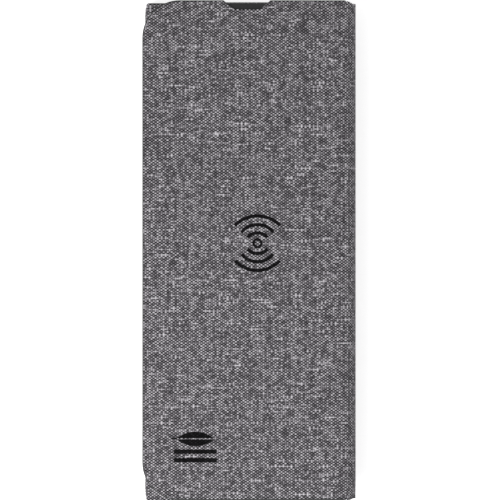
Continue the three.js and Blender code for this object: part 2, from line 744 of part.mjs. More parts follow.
const boardEdgeY = COIL_FROM_NECK_END + pcbNear;
const landingY = boardEdgeY + LEAD_LANDING;
const outerStart = spiralPoint(endAngle, 1);
const outerLeadZ = pcbTop + LEAD_GAP + OUTER_LEAD_RADIUS;
const outerPath = new THREE.LineCurve3(
  new THREE.Vector3(outerStart.x, outerStart.y + LEAD_GAP, outerLeadZ),
  new THREE.Vector3(outerStart.x, landingY, outerLeadZ),
);
const outerLead = leadGeometry(outerPath, OUTER_LEAD_RADIUS, 1);
addPiece(coilStack, "coil_outer_lead", outerLead, copper);

// The inner lead runs under the coil in the ferrite's slot, and climbs before it reaches the board.
const slotZ = ferriteBottom + FERRITE_THICK / 2;
const landingZ = pcbTop + LEAD_GAP + INNER_LEAD_RADIUS;
const innerPath = new THREE.CatmullRomCurve3([
  new THREE.Vector3(0, COIL_INNER_RADIUS, slotZ),
  new THREE.Vector3(0, FERRITE_RADIUS, slotZ),
  new THREE.Vector3(0, boardEdgeY - LEAD_RAMP, landingZ),
  new THREE.Vector3(0, landingY, landingZ),
]);
const innerLead = leadGeometry(innerPath, INNER_LEAD_RADIUS, 12);
addPiece(coilStack, "coil_inner_lead", innerLead, copper);

export default mat;
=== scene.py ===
"""A cloth-covered desk mat that folds in three, with a wireless charger built into its top panel.

It lies folded on a table: base panel, middle panel, charging flap. Metres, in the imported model's frame.
"""

import math

import bmesh
import bpy
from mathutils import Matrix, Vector


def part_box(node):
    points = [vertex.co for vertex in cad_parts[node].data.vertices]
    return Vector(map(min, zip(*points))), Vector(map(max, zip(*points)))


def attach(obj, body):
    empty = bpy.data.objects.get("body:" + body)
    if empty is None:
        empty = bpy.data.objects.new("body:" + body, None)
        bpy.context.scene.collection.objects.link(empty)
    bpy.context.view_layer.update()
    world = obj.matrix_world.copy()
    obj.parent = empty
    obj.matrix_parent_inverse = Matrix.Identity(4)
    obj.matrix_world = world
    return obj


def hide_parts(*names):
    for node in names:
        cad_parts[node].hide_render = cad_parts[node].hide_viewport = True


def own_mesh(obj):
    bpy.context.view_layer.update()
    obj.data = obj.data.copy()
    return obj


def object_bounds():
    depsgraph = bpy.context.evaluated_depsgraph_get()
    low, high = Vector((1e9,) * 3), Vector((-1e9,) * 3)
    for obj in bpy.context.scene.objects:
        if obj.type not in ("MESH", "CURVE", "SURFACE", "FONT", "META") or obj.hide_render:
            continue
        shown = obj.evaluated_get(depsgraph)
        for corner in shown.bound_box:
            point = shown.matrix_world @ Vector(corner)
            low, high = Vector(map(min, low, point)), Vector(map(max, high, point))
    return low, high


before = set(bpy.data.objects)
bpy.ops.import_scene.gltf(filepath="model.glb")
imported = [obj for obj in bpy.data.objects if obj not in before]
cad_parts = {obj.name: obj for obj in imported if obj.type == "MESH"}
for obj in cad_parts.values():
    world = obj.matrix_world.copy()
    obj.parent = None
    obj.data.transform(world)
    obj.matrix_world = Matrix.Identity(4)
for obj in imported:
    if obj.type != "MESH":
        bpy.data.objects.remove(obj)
cad_low, cad_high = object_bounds()

# ------------------------------------------------------------------------------------------------ studio
# A pale table top, a soft white room and one broad lamp low on the left. The camera hangs straight over the
# mat on a long lens, a little to the right of its middle, as close as the mat's length allows.

TABLE_HALF = 4.0
TABLE_GAP = 0.00005
LAMP_PLACE = (-0.5, -0.5, 0.6)
LAMP_WIDTH = 0.6
LAMP_WATTS = 10.0
ROOM_LIGHT = 0.5
TABLE_GLOW = 0.65
BACKDROP_LIFT = 0.45
LENS_MM = 300.0
SENSOR_MM = 36.0
VIEW_WIDTH = 0.2
VIEW_CENTRE = Vector((0.00037, 0.00046, 0))

bpy.ops.object.select_all(action="DESELECT")


def join(tree, value, socket):
    """Feeds a node's input from another node's output, or gives it a plain value."""
    if isinstance(value, bpy.types.NodeSocket):
        tree.links.new(value, socket)
    else:
        socket.default_value = value


def place_node(tree, kind, inputs=None, **settings):
    """Adds a node, sets what it does, and feeds the inputs that are named."""
    node = tree.nodes.new(kind)
    for key, value in settings.items():
        setattr(node, key, value)
    for key, value in (inputs or {}).items():
        join(tree, value, node.inputs[key])
    return node


def reckon(tree, operation, *values):
    """A sum in a material: the output of one Math node."""
    node = place_node(tree, "ShaderNodeMath", operation=operation)
    for value, socket in zip(values, node.inputs):
        join(tree, value, socket)
    return node.outputs[0]


def ramp(tree, factor, stops):
    """Colours along a ramp, each with the place where it stands."""
    node = place_node(tree, "ShaderNodeValToRGB", {"Fac": factor})
    elements = node.color_ramp.elements
    while len(elements) < len(stops):
        elements.new(0.5)
    for element, (place, tint) in zip(elements, stops):
        element.position = place
        element.color = (*tint, 1)
    return node.outputs["Color"]


def new_finish(name, **plain):
    """A material with a Principled shader, whose unchanging values are set on its own sockets."""
    material = bpy.data.materials.new(name)
    material.use_nodes = True
    tree = material.node_tree
    shader = tree.nodes["Principled BSDF"]
    for key, value in plain.items():
        shader.inputs[key.replace("_", " ")].default_value = value
    return material, tree, shader


def table_finish():
    """Matt white paint with the faintest unevenness."""
    material, tree, shader = new_finish("table_paint", Roughness=0.9, Emission_Strength=TABLE_GLOW)
    shader.inputs["Emission Color"].default_value = (1, 1, 1, 1)
    where = place_node(tree, "ShaderNodeTexCoord").outputs["Object"]
    cloud = place_node(tree, "ShaderNodeTexNoise", {"Vector": where, "Scale": 3.0, "Detail": 2.0})
    tint = ramp(tree, cloud.outputs["Fac"], [(0.3, (0.83, 0.83, 0.83)), (0.7, (0.86, 0.86, 0.86))])
    join(tree, tint, shader.inputs["Base Color"])
    return material


bpy.ops.mesh.primitive_plane_add(size=2 * TABLE_HALF, location=(0, 0, cad_low.z - TABLE_GAP))
table = bpy.context.object
table.name = "table_top"
table.data.materials.append(table_finish())
bpy.ops.object.transform_apply(location=True, rotation=True, scale=True)

room = bpy.data.worlds.new("white_room")
room.use_nodes = True
room.node_tree.nodes["Background"].inputs["Color"].default_value = (1, 1, 1, 1)
seen = place_node(room.node_tree, "ShaderNodeLightPath").outputs["Is Camera Ray"]
backdrop_glow = reckon(room.node_tree, "MULTIPLY_ADD", seen, BACKDROP_LIFT, ROOM_LIGHT)
join(room.node_tree, backdrop_glow, room.node_tree.nodes["Background"].inputs["Strength"])
bpy.context.scene.world = room
bpy.context.scene.view_settings.view_transform = "Standard"

bpy.ops.object.light_add(type="AREA", location=LAMP_PLACE)
lamp = bpy.context.object
lamp.name = "broad_lamp"
lamp.data.size = LAMP_WIDTH
lamp.data.energy = LAMP_WATTS
lamp.rotation_euler = Vector(LAMP_PLACE).to_track_quat("Z", "Y").to_euler()

camera_height = VIEW_WIDTH * LENS_MM / SENSOR_MM
bpy.ops.object.camera_add(location=VIEW_CENTRE + Vector((0, 0, cad_high.z + camera_height)))
camera = bpy.context.object
camera.name = "overhead_camera"
camera.rotation_euler = (0, 0, 0)
camera.data.lens = LENS_MM
camera.data.sensor_width = SENSOR_MM
bpy.context.scene.camera = camera

# ------------------------------------------------------------------------------------------------ boards
# Each panel is stiffened by a sheet of solid grey board, pressed from waste paper and cut with a steel
# rule. The cloth is glued to both of its faces, and the top board has a window for the charger.


def dress(node, material):
    """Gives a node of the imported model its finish."""
    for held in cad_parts[node].material_slots:
        held.material = material


def board_finish():
    """Pulp with paler and darker fibres pressed flat."""
    material, tree, shader = new_finish("pressed_pulp", Roughness=0.92)
    where = place_node(tree, "ShaderNodeTexCoord").outputs["Object"]
    drawn = place_node(tree, "ShaderNodeMapping", {"Vector": where, "Scale": (900.0, 260.0, 900.0)})
    fibre = place_node(
        tree, "ShaderNodeTexNoise", {"Vector": drawn.outputs[0], "Scale": 1.0, "Detail": 5.0}
    )
    cloud = place_node(tree, "ShaderNodeTexNoise", {"Vector": where, "Scale": 90.0, "Detail": 3.0})
    both = reckon(tree, "MULTIPLY_ADD", cloud.outputs["Fac"], 0.5, fibre.outputs["Fac"])
    stops = [(0.45, (0.12, 0.105, 0.088)), (0.75, (0.25, 0.22, 0.18)), (1.0, (0.38, 0.35, 0.3))]
    join(tree, ramp(tree, both, stops), shader.inputs["Base Color"])
    relief = place_node(
        tree, "ShaderNodeBump", {"Strength": 0.4, "Distance": 0.0001, "Height": fibre.outputs["Fac"]}
    )
    join(tree, relief.outputs[0], shader.inputs["Normal"])
    return material


pulp = board_finish()
for node in ("base_board", "middle_board", "flap_board"):
    dress(node, pulp)

# ------------------------------------------------------------------------------------------------ magnets
# Pairs of thin nickel-plated discs hold the folded panels shut. Each is pressed into a pocket that is
# milled into the board, flush with its face, before the cloth goes on.


def nickel_finish():
    """Bright barrel plating with a fine scuff."""
    material, tree, shader = new_finish("nickel_plating", Metallic=1.0)
    where = place_node(tree, "ShaderNodeTexCoord").outputs["Object"]
    scuff = place_node(
        tree, "ShaderNodeTexNoise", {"Vector": where, "Scale": 1400.0, "Detail": 6.0, "Distortion": 1.5}
    )
    tint = ramp(tree, scuff.outputs["Fac"], [(0.3, (0.52, 0.51, 0.49)), (0.7, (0.68, 0.67, 0.64))])
    join(tree, tint, shader.inputs["Base Color"])
    gloss = place_node(
        tree, "ShaderNodeMapRange", {"Value": scuff.outputs["Fac"], "To Min": 0.16, "To Max": 0.42}
    )
    join(tree, gloss.outputs[0], shader.inputs["Roughness"])
    return material


plating = nickel_finish()
for node in sorted(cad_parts):
    if "magnet" in node:
        dress(node, plating)

# ------------------------------------------------------------------------------------------- charger shells
# Two shallow shells of black moulded plastic that snap together round the coil and the circuit board. Their
# neck runs out to the flap's edge, where the two halves leave a slot for the socket. The lower shell has
# four bosses, each with a pin that locates the circuit board.

SHELL_SKIN = 0.0008
SHELL_CORNER = 0.006
NECK_WIDTH = 0.024
NECK_LENGTH = 0.008
NECK_ROUND = 0.0005
SLOT_ROOM = 0.0003
PARTING_GAP = 0.0001
BOSS_RADIUS = 0.0025
BOSS_INSET = 0.0032
PIN_RADIUS = 0.0009
BOSS_GAP = 0.00005
BOSS_SIDES = 28
BOARD_SHORT = 0.0027
SHELL_SOFTNESS = 0.00006
SHELL_STEPS = 10
SLOT_STEPS = 16
ROUND_STEPS = 4
EDGE_STEPS = 2
EDGE_ANGLE = 50
SMOOTH_ANGLE = 35
NEARLY_HALF = 0.4999
PIN_CHAMFER = 0.25
SPECK = 0.000001
HAIR = 0.00001
FACING = 0.9
SIDEWAYS = 0.1


def take_up(name):
    """The object that was just added, named, with its place and size moved into its mesh."""
    piece = bpy.context.object
    piece.name = name
    piece.data.name = name
    bpy.ops.object.transform_apply(location=True, rotation=True, scale=True)
    return piece


def add_plate(name, low, high, height):
    """A flat rectangle between two corners, at a height, left in edit mode with all of it selected."""
    middle = ((low[0] + high[0]) / 2, (low[1] + high[1]) / 2, height)
    bpy.ops.mesh.primitive_plane_add(size=1, location=middle)
    bpy.context.object.scale = (high[0] - low[0], high[1] - low[1], 1)
    piece = take_up(name)
    bpy.ops.object.mode_set(mode="EDIT")
    bpy.ops.mesh.select_all(action="SELECT")
    return piece


def pick_points(piece, wanted):
    """Selects, in edit mode, the points whose place is wanted."""
    bpy.ops.mesh.select_mode(type="VERT")
    bpy.ops.mesh.select_all(action="DESELECT")
    shape = bmesh.from_edit_mesh(piece.data)
    for point in shape.verts:
        point.select_set(bool(wanted(point.co)))
    shape.select_flush_mode()
    bmesh.update_edit_mesh(piece.data)


def pick_edges(piece, wanted):
    """Selects, in edit mode, the edges that are wanted, judged by their two ends and faces' normals."""
    bpy.ops.mesh.select_mode(type="EDGE")
    bpy.ops.mesh.select_all(action="DESELECT")
    shape = bmesh.from_edit_mesh(piece.data)
    shape.normal_update()
    for edge in shape.edges:
        ends = [point.co for point in edge.verts]
        normals = [face.normal for face in edge.link_faces]
        edge.select_set(bool(wanted(ends, normals)))
    shape.select_flush_mode()
    bmesh.update_edit_mesh(piece.data)


def pick_faces(piece, wanted):
    """Selects, in edit mode, the faces that are wanted, each judged by its middle and its normal."""
    bpy.ops.mesh.select_mode(type="FACE")
    bpy.ops.mesh.select_all(action="DESELECT")
    shape = bmesh.from_edit_mesh(piece.data)
    shape.normal_update()
    for face in shape.faces:
        face.select_set(bool(wanted(face.calc_center_median(), face.normal)))
    bmesh.update_edit_mesh(piece.data)


def cut_across(piece, place, normal):
    """Cuts the whole of a mesh along a plane, and leaves it in one piece."""
    bpy.ops.mesh.select_all(action="SELECT")
    bpy.ops.mesh.bisect(plane_co=place, plane_no=normal)


def is_rim(ends, normals):
    """An edge between a level face and an upright one."""
    if len(normals) != 2:
        return False
    level = sorted(abs(normal.z) for normal in normals)
    return level[0] < SIDEWAYS and level[1] > FACING


def give_wall(piece, thickness):
    """Gives an open skin, whose faces look outwards, a wall on its inside."""
    bpy.ops.object.mode_set(mode="OBJECT")
    wall = piece.modifiers.new("wall", "SOLIDIFY")
    wall.thickness = thickness
    wall.offset = -1
    wall.use_even_offset = True
    bpy.ops.object.modifier_apply(modifier="wall")


def soften(piece, width):
    """Rounds every sharp edge of a finished piece."""
    bevel = piece.modifiers.new("soft_edges", "BEVEL")
    bevel.width = width
    bevel.segments = EDGE_STEPS
    bevel.limit_method = "ANGLE"
    bevel.angle_limit = math.radians(EDGE_ANGLE)
    bpy.ops.object.modifier_apply(modifier="soft_edges")


def smooth(piece, angle=SMOOTH_ANGLE):
    """Shades a piece smooth except over its sharp edges."""
    bpy.ops.object.select_all(action="DESELECT")
    piece.select_set(True)
    bpy.context.view_layer.objects.active = piece
    bpy.ops.object.shade_smooth_by_angle(angle=math.radians(angle))


def cut_out(piece, cutter):
    """Takes a cutter's shape out of a piece, and throws the cutter away."""
    bpy.context.view_layer.objects.active = piece
    cut = piece.modifiers.new("cut", "BOOLEAN")
    cut.operation = "DIFFERENCE"
    cut.solver = "MANIFOLD"
    cut.object = cutter
    bpy.ops.object.modifier_apply(modifier="cut")
    bpy.data.objects.remove(cutter)


def add_slot_bar(name, middle, width, height, near, far):
    """A bar along Y whose section is a slot with half-round ends."""
    add_plate(name, (-width / 2, -height / 2), (width / 2, height / 2), 0)
    bpy.ops.mesh.bevel(offset=NEARLY_HALF * height, segments=SLOT_STEPS, affect="VERTICES")
    bpy.ops.mesh.remove_doubles(threshold=SPECK)
    bpy.ops.mesh.select_all(action="SELECT")
    bpy.ops.mesh.extrude_region_move(TRANSFORM_OT_translate={"value": (0, 0, far - near)})
    bpy.ops.mesh.select_all(action="SELECT")
    bpy.ops.mesh.normals_make_consistent(inside=False)
    bpy.ops.object.mode_set(mode="OBJECT")
    bar = bpy.context.object
    bar.rotation_euler = (math.radians(90), 0, 0)
    bar.location = (middle.x, far, middle.z)
    return take_up(name)


def drop_specks(piece):
    """Closes up faces and edges with no size, which cutting and rounding can leave."""
    bpy.context.view_layer.objects.active = piece
    bpy.ops.object.mode_set(mode="EDIT")
    bpy.ops.mesh.select_all(action="SELECT")
    bpy.ops.mesh.dissolve_degenerate(threshold=SPECK)
    bpy.ops.object.mode_set(mode="OBJECT")


def settle(piece, body, material):
    """The last step of a piece: its finish and the body that carries it."""
    piece.data.materials.clear()
    for each in material if isinstance(material, list) else [material]:
        piece.data.materials.append(each)
    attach(piece, body)
    bpy.ops.object.select_all(action="DESELECT")


def moulded_finish(name, dark, light, grain, roughness):
    """Plastic from a spark-eroded mould: an even, fine grain with a soft gloss."""
    material, tree, shader = new_finish(name)
    where = place_node(tree, "ShaderNodeTexCoord").outputs["Object"]
    pits = place_node(tree, "ShaderNodeTexVoronoi", {"Vector": where, "Scale": grain}, feature="SMOOTH_F1")
    cloud = place_node(tree, "ShaderNodeTexNoise", {"Vector": where, "Scale": grain / 25, "Detail": 3.0})
    tint = ramp(tree, cloud.outputs["Fac"], [(0.35, dark), (0.65, light)])
    join(tree, tint, shader.inputs["Base Color"])
    gloss = place_node(
        tree,
        "ShaderNodeMapRange",
        {"Value": cloud.outputs["Fac"], "To Min": roughness - 0.07, "To Max": roughness + 0.07},
    )
    join(tree, gloss.outputs[0], shader.inputs["Roughness"])
    relief = place_node(
        tree,
        "ShaderNodeBump",
        {"Strength": 0.35, "Distance": 0.00004, "Height": pits.outputs["Distance"]},
    )
    join(tree, relief.outputs[0], shader.inputs["Normal"])
    return material


black_moulding = moulded_finish("black_moulding", (0.009, 0.009, 0.010), (0.016, 0.016, 0.017), 5200.0, 0.5)

socket_low, socket_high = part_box("socket_shell")
socket_middle = (socket_low + socket_high) / 2
circuit_low, circuit_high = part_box("circuit_board")


def mould_shell(name, node, skin_up):
    """One shell: the body's rounded plate, the neck drawn out of its far side, and a wall turned in."""
    low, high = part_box(node)
    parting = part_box("charger_upper_shell")[0].z
    skin, parting = (high.z, parting) if skin_up else (low.z, parting - PARTING_GAP)
    body_far = high.y - NECK_LENGTH
    shell = add_plate(name, low, (high.x, body_far), skin)
    bpy.ops.mesh.bevel(offset=SHELL_CORNER, segments=SHELL_STEPS, affect="VERTICES")
    neck_sides = [socket_middle.x - NECK_WIDTH / 2, socket_middle.x + NECK_WIDTH / 2]
    for side in neck_sides:
        cut_across(shell, (side, 0, 0), (1, 0, 0))
    reach = (neck_sides[0] - NECK_ROUND, neck_sides[1] + NECK_ROUND)
    pick_edges(
        shell,
        lambda ends, normals: all(p.y > body_far - HAIR and reach[0] < p.x < reach[1] for p in ends),
    )
    bpy.ops.mesh.extrude_edges_move(TRANSFORM_OT_translate={"value": (0, NECK_LENGTH, 0)})
    bpy.ops.mesh.select_all(action="SELECT")
    bpy.ops.mesh.region_to_loop()
    bpy.ops.mesh.extrude_edges_move(TRANSFORM_OT_translate={"value": (0, 0, parting - skin)})
    bpy.ops.mesh.select_all(action="SELECT")
    bpy.ops.mesh.normals_make_consistent(inside=False)
    pick_edges(shell, is_rim)
    bpy.ops.mesh.bevel(offset=NECK_ROUND, segments=ROUND_STEPS, affect="EDGES")
    turn_outwards(shell, skin_up)
    give_wall(shell, SHELL_SKIN)
    slot = add_slot_bar(
        name + "_slot",
        socket_middle,
        socket_high.x - socket_low.x + 2 * SLOT_ROOM,
        socket_high.z - socket_low.z + 2 * SLOT_ROOM,
        high.y - NECK_LENGTH,
        high.y + NECK_LENGTH,
    )
    cut_out(shell, slot)
    return shell


def turn_outwards(piece, skin_up):
    """Flips an open skin whose level face looks the wrong way."""
    shape = bmesh.from_edit_mesh(piece.data)
    shape.normal_update()
    widest = max(shape.faces, key=lambda face: abs(face.normal.z) * face.calc_area())
    if (widest.normal.z > 0) != skin_up:
        bpy.ops.mesh.select_all(action="SELECT")
        bpy.ops.mesh.flip_normals()


def raise_boss(name, x, y, foot, shoulder, tip):
    """A round boss with a thinner pin on top, both with soft edges."""
    bpy.ops.mesh.primitive_cylinder_add(
        vertices=BOSS_SIDES,
        radius=BOSS_RADIUS,
        depth=shoulder - foot,
        location=(x, y, (foot + shoulder) / 2),
    )
    boss = take_up(name)
    bpy.ops.object.mode_set(mode="EDIT")
    pick_faces(boss, lambda centre, normal: normal.z > FACING)
    bpy.ops.mesh.inset(thickness=BOSS_RADIUS - PIN_RADIUS)
    bpy.ops.mesh.extrude_region_move(TRANSFORM_OT_translate={"value": (0, 0, tip - shoulder)})
    bpy.ops.mesh.inset(thickness=PIN_CHAMFER * PIN_RADIUS)
    bpy.ops.transform.translate(value=(0, 0, PIN_CHAMFER * PIN_RADIUS))
    bpy.ops.object.mode_set(mode="OBJECT")
    return boss


upper_shell = mould_shell("charger_upper_cover", "charger_upper_shell", True)
soften(upper_shell, SHELL_SOFTNESS)
smooth(upper_shell)
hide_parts("charger_upper_shell")
drop_specks(upper_shell)
settle(upper_shell, "charging_flap", black_moulding)

lower_shell = mould_shell("charger_lower_cover", "charger_lower_shell", False)
lower_low, lower_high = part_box("charger_lower_shell")
soften(lower_shell, SHELL_SOFTNESS)
coil_low, coil_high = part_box("charging_coil")
coil_middle = (coil_low + coil_high) / 2
circuit_half = (circuit_high.x - circuit_low.x) / 2
wide_far = lower_high.y - NECK_LENGTH - BOARD_SHORT
bosses = []
for across in (-1, 1):
    for y in (circuit_low.y + BOSS_INSET, wide_far - BOSS_INSET):
        x = coil_middle.x + across * (circuit_half - BOSS_INSET)
        foot = lower_low.z + SHELL_SKIN / 2
        shoulder = circuit_low.z - BOSS_GAP
        bosses.append(raise_boss("boss", x, y, foot, shoulder, circuit_high.z + SLOT_ROOM / 2))
bpy.ops.object.select_all(action="DESELECT")
for boss in bosses:
    boss.select_set(True)
lower_shell.select_set(True)
bpy.context.view_layer.objects.active = lower_shell
bpy.ops.object.join()
smooth(lower_shell)
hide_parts("charger_lower_shell")
drop_specks(lower_shell)
settle(lower_shell, "charging_flap", black_moulding)

# ------------------------------------------------------------------------------------------------- socket
# The charging socket is a folded and welded steel shell with a rounded mouth. Inside stands a black tongue
# with twelve gold-plated contacts on each face, moulded in one with the block at its root.

SOCKET_METAL = 0.0003
SOCKET_SOFTNESS = 0.00007
TONGUE_WIDTH = 0.00669
TONGUE_THICK = 0.0007
TONGUE_LENGTH = 0.00445
TONGUE_CORNER = 0.0006
TONGUE_EDGE = 0.00012
ROOT_SOFTNESS = 0.00008
CONTACT_COUNT = 12
CONTACT_PITCH = 0.0005
CONTACT_WIDTH = 0.00026
CONTACT_LENGTH = 0.0032
CONTACT_PROUD = 0.00003


def steel_finish():
    """Drawn sheet steel: fine lines along the socket, a little duller across it."""
    material, tree, shader = new_finish("drawn_steel", Metallic=1.0)
    where = place_node(tree, "ShaderNodeTexCoord").outputs["Object"]
    drawn = place_node(tree, "ShaderNodeMapping", {"Vector": where, "Scale": (9000.0, 500.0, 9000.0)})
    lines = place_node(
        tree, "ShaderNodeTexNoise", {"Vector": drawn.outputs[0], "Scale": 1.0, "Detail": 4.0}
    )
    tint = ramp(tree, lines.outputs["Fac"], [(0.3, (0.40, 0.41, 0.42)), (0.7, (0.60, 0.61, 0.62))])
    join(tree, tint, shader.inputs["Base Color"])
    gloss = place_node(
        tree, "ShaderNodeMapRange", {"Value": lines.outputs["Fac"], "To Min": 0.22, "To Max": 0.4}
    )
    join(tree, gloss.outputs[0], shader.inputs["Roughness"])
    return material


def gold_finish():
    """Thin gold over nickel, rubbed paler where a plug wipes along it."""
    material, tree, shader = new_finish("contact_gold", Metallic=1.0, Roughness=0.28)
    where = place_node(tree, "ShaderNodeTexCoord").outputs["Object"]
    wipe = place_node(tree, "ShaderNodeTexNoise", {"Vector": where, "Scale": 2500.0, "Detail": 3.0})
    tint = ramp(tree, wipe.outputs["Fac"], [(0.35, (0.60, 0.40, 0.12)), (0.7, (0.85, 0.63, 0.28))])
    join(tree, tint, shader.inputs["Base Color"])
    return material


socket_steel = steel_finish()
contact_gold = gold_finish()
black_resin = moulded_finish("black_resin", (0.012, 0.012, 0.013), (0.022, 0.022, 0.023), 8000.0, 0.42)

socket = add_slot_bar(
    "socket_sleeve",
    socket_middle,
    socket_high.x - socket_low.x,
    socket_high.z - socket_low.z,
    socket_low.y,
    socket_high.y,
)
bpy.ops.object.mode_set(mode="EDIT")
pick_faces(socket, lambda centre, normal: normal.y > FACING)
bpy.ops.mesh.delete(type="FACE")
give_wall(socket, SOCKET_METAL)
soften(socket, SOCKET_SOFTNESS)
smooth(socket)
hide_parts("socket_shell")
settle(socket, "charging_flap", socket_steel)

tongue_low, tongue_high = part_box("socket_tongue")
root_far = tongue_high.y - TONGUE_LENGTH
tongue_root = add_slot_bar(
    "tongue_root",
    socket_middle,
    tongue_high.x - tongue_low.x,
    tongue_high.z - tongue_low.z,
    tongue_low.y,
    root_far,
)
soften(tongue_root, ROOT_SOFTNESS)
blade_low = (socket_middle.x - TONGUE_WIDTH / 2, root_far - SOCKET_METAL)
blade_high = (socket_middle.x + TONGUE_WIDTH / 2, tongue_high.y)
tongue = add_plate("tongue_moulding", blade_low, blade_high, socket_middle.z - TONGUE_THICK / 2)
pick_points(tongue, lambda p: p.y > root_far)
bpy.ops.mesh.bevel(offset=TONGUE_CORNER, segments=ROUND_STEPS, affect="VERTICES")
bpy.ops.mesh.select_all(action="SELECT")
bpy.ops.mesh.extrude_region_move(TRANSFORM_OT_translate={"value": (0, 0, TONGUE_THICK)})
bpy.ops.mesh.select_all(action="SELECT")
bpy.ops.mesh.normals_make_consistent(inside=False)
bpy.ops.object.mode_set(mode="OBJECT")
soften(tongue, TONGUE_EDGE)
tongue_root.select_set(True)
bpy.context.view_layer.objects.active = tongue
bpy.ops.object.join()
smooth(tongue)
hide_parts("socket_tongue")
settle(tongue, "charging_flap", black_resin)

contact_bars = []
for face in (-1, 1):
    for i in range(CONTACT_COUNT):
        x = socket_middle.x + (i - (CONTACT_COUNT - 1) / 2) * CONTACT_PITCH
        low = (x - CONTACT_WIDTH / 2, tongue_high.y - TONGUE_CORNER - CONTACT_LENGTH)
        high = (x + CONTACT_WIDTH / 2, tongue_high.y - TONGUE_CORNER)
        level = socket_middle.z + face * (TONGUE_THICK / 2 - CONTACT_PROUD)
        bar = add_plate("contact", low, high, level)
        bpy.ops.mesh.extrude_region_move(
            TRANSFORM_OT_translate={"value": (0, 0, face * 2 * CONTACT_PROUD)}
        )
        bpy.ops.mesh.inset(thickness=CONTACT_PROUD)
        bpy.ops.transform.translate(value=(0, 0, face * CONTACT_PROUD / 2))
        bpy.ops.mesh.select_all(action="SELECT")
        bpy.ops.mesh.normals_make_consistent(inside=False)
        bpy.ops.object.mode_set(mode="OBJECT")
        contact_bars.append(bar)
bpy.ops.object.select_all(action="DESELECT")
for bar in contact_bars:
    bar.select_set(True)
contacts = contact_bars[0]
bpy.context.view_layer.objects.active = contacts
bpy.ops.object.join()
contacts.name = "socket_contacts"
smooth(contacts)
settle(contacts, "charging_flap", contact_gold)

# ------------------------------------------------------------------------------------------- circuit board
# A thin green laminate with copper tracks under its mask, held on the four pins. It carries the controller,
# the bridge that drives the coil, an inductor and four tuning capacitors, all soldered to its top.

CERAMIC_SHARE = 0.6


def mask_finish():
    """Solder mask: tracks and pads show as slightly raised, paler lines through the green."""
    material, tree, shader = new_finish("solder_mask", Roughness=0.3)
    where = place_node(tree, "ShaderNodeTexCoord").outputs["Object"]
    cells = place_node(
        tree,
        "ShaderNodeTexVoronoi",
        {"Vector": where, "Scale": 420.0, "Randomness": 0.55},
        feature="DISTANCE_TO_EDGE",
        distance="EUCLIDEAN",
    )
    track = place_node(
        tree,
        "ShaderNodeMapRange",
        {"Value": cells.outputs["Distance"], "From Min": 0.04, "From Max": 0.08},
    )
    stops = [(0.0, (0.035, 0.16, 0.075)), (1.0, (0.009, 0.075, 0.035))]
    join(tree, ramp(tree, track.outputs[0], stops), shader.inputs["Base Color"])
    relief = place_node(
        tree,
        "ShaderNodeBump",
        {"Strength": 0.5, "Distance": 0.00003, "Height": track.outputs[0]},
        invert=True,
    )
    join(tree, relief.outputs[0], shader.inputs["Normal"])
    return material


def capacitor_finish():
    """Fired ceramic between two tinned ends, which take up the part of its length nearest each end."""
    material, tree, shader = new_finish("tinned_ceramic")
    where = place_node(tree, "ShaderNodeTexCoord").outputs["Object"]
    low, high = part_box("resonant_capacitor_1")
    along = place_node(tree, "ShaderNodeSeparateXYZ", {"Vector": where}).outputs["Y"]
    from_middle = reckon(tree, "ABSOLUTE", reckon(tree, "SUBTRACT", along, (low.y + high.y) / 2))
    ends = reckon(tree, "GREATER_THAN", from_middle, CERAMIC_SHARE / 2 * (high.y - low.y))
    grain = place_node(tree, "ShaderNodeTexNoise", {"Vector": where, "Scale": 3000.0, "Detail": 3.0})
    body = ramp(tree, grain.outputs["Fac"], [(0.3, (0.30, 0.21, 0.12)), (0.7, (0.42, 0.31, 0.19))])
    tin = ramp(tree, grain.outputs["Fac"], [(0.3, (0.55, 0.55, 0.56)), (0.7, (0.72, 0.72, 0.73))])
    tint = place_node(tree, "ShaderNodeMix", data_type="RGBA")
    join(tree, ends, tint.inputs[0])
    join(tree, body, tint.inputs[6])
    join(tree, tin, tint.inputs[7])
    join(tree, tint.outputs[2], shader.inputs["Base Color"])
    join(tree, ends, shader.inputs["Metallic"])
    rough = reckon(tree, "MULTIPLY_ADD", ends, -0.3, 0.6)
    join(tree, rough, shader.inputs["Roughness"])
    return material


dress("circuit_board", mask_finish())
for node in ("controller_chip", "bridge_chip"):
    dress(node, black_resin)
ceramic = capacitor_finish()
for node in sorted(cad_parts):
    if node.startswith("resonant_capacitor"):
        dress(node, ceramic)

# --------------------------------------------------------------------------------------------- coil stack
# A flat spiral of enamelled strands lies on a sintered ferrite disc, with its two ends led to the circuit
# board. A soft foam pad under the disc presses the coil up against the inside of the upper shell.


def ferrite_finish():
    """Sintered ferrite: dull near-black with pressed crazing."""
    material, tree, shader = new_finish("sintered_ferrite", Roughness=0.62)
    where = place_node(tree, "ShaderNodeTexCoord").outputs["Object"]
    crazing = place_node(
        tree, "ShaderNodeTexVoronoi", {"Vector": where, "Scale": 260.0}, feature="DISTANCE_TO_EDGE"
    )
    grain = place_node(tree, "ShaderNodeTexNoise", {"Vector": where, "Scale": 2600.0, "Detail": 4.0})
    tint = ramp(tree, grain.outputs["Fac"], [(0.3, (0.014, 0.014, 0.016)), (0.7, (0.035, 0.035, 0.038))])
    join(tree, tint, shader.inputs["Base Color"])
    edge = place_node(
        tree, "ShaderNodeMapRange", {"Value": crazing.outputs["Distance"], "From Max": 0.04}
    )
    relief = place_node(
        tree, "ShaderNodeBump", {"Strength": 0.5, "Distance": 0.00005, "Height": edge.outputs[0]}
    )
    join(tree, relief.outputs[0], shader.inputs["Normal"])
    return material


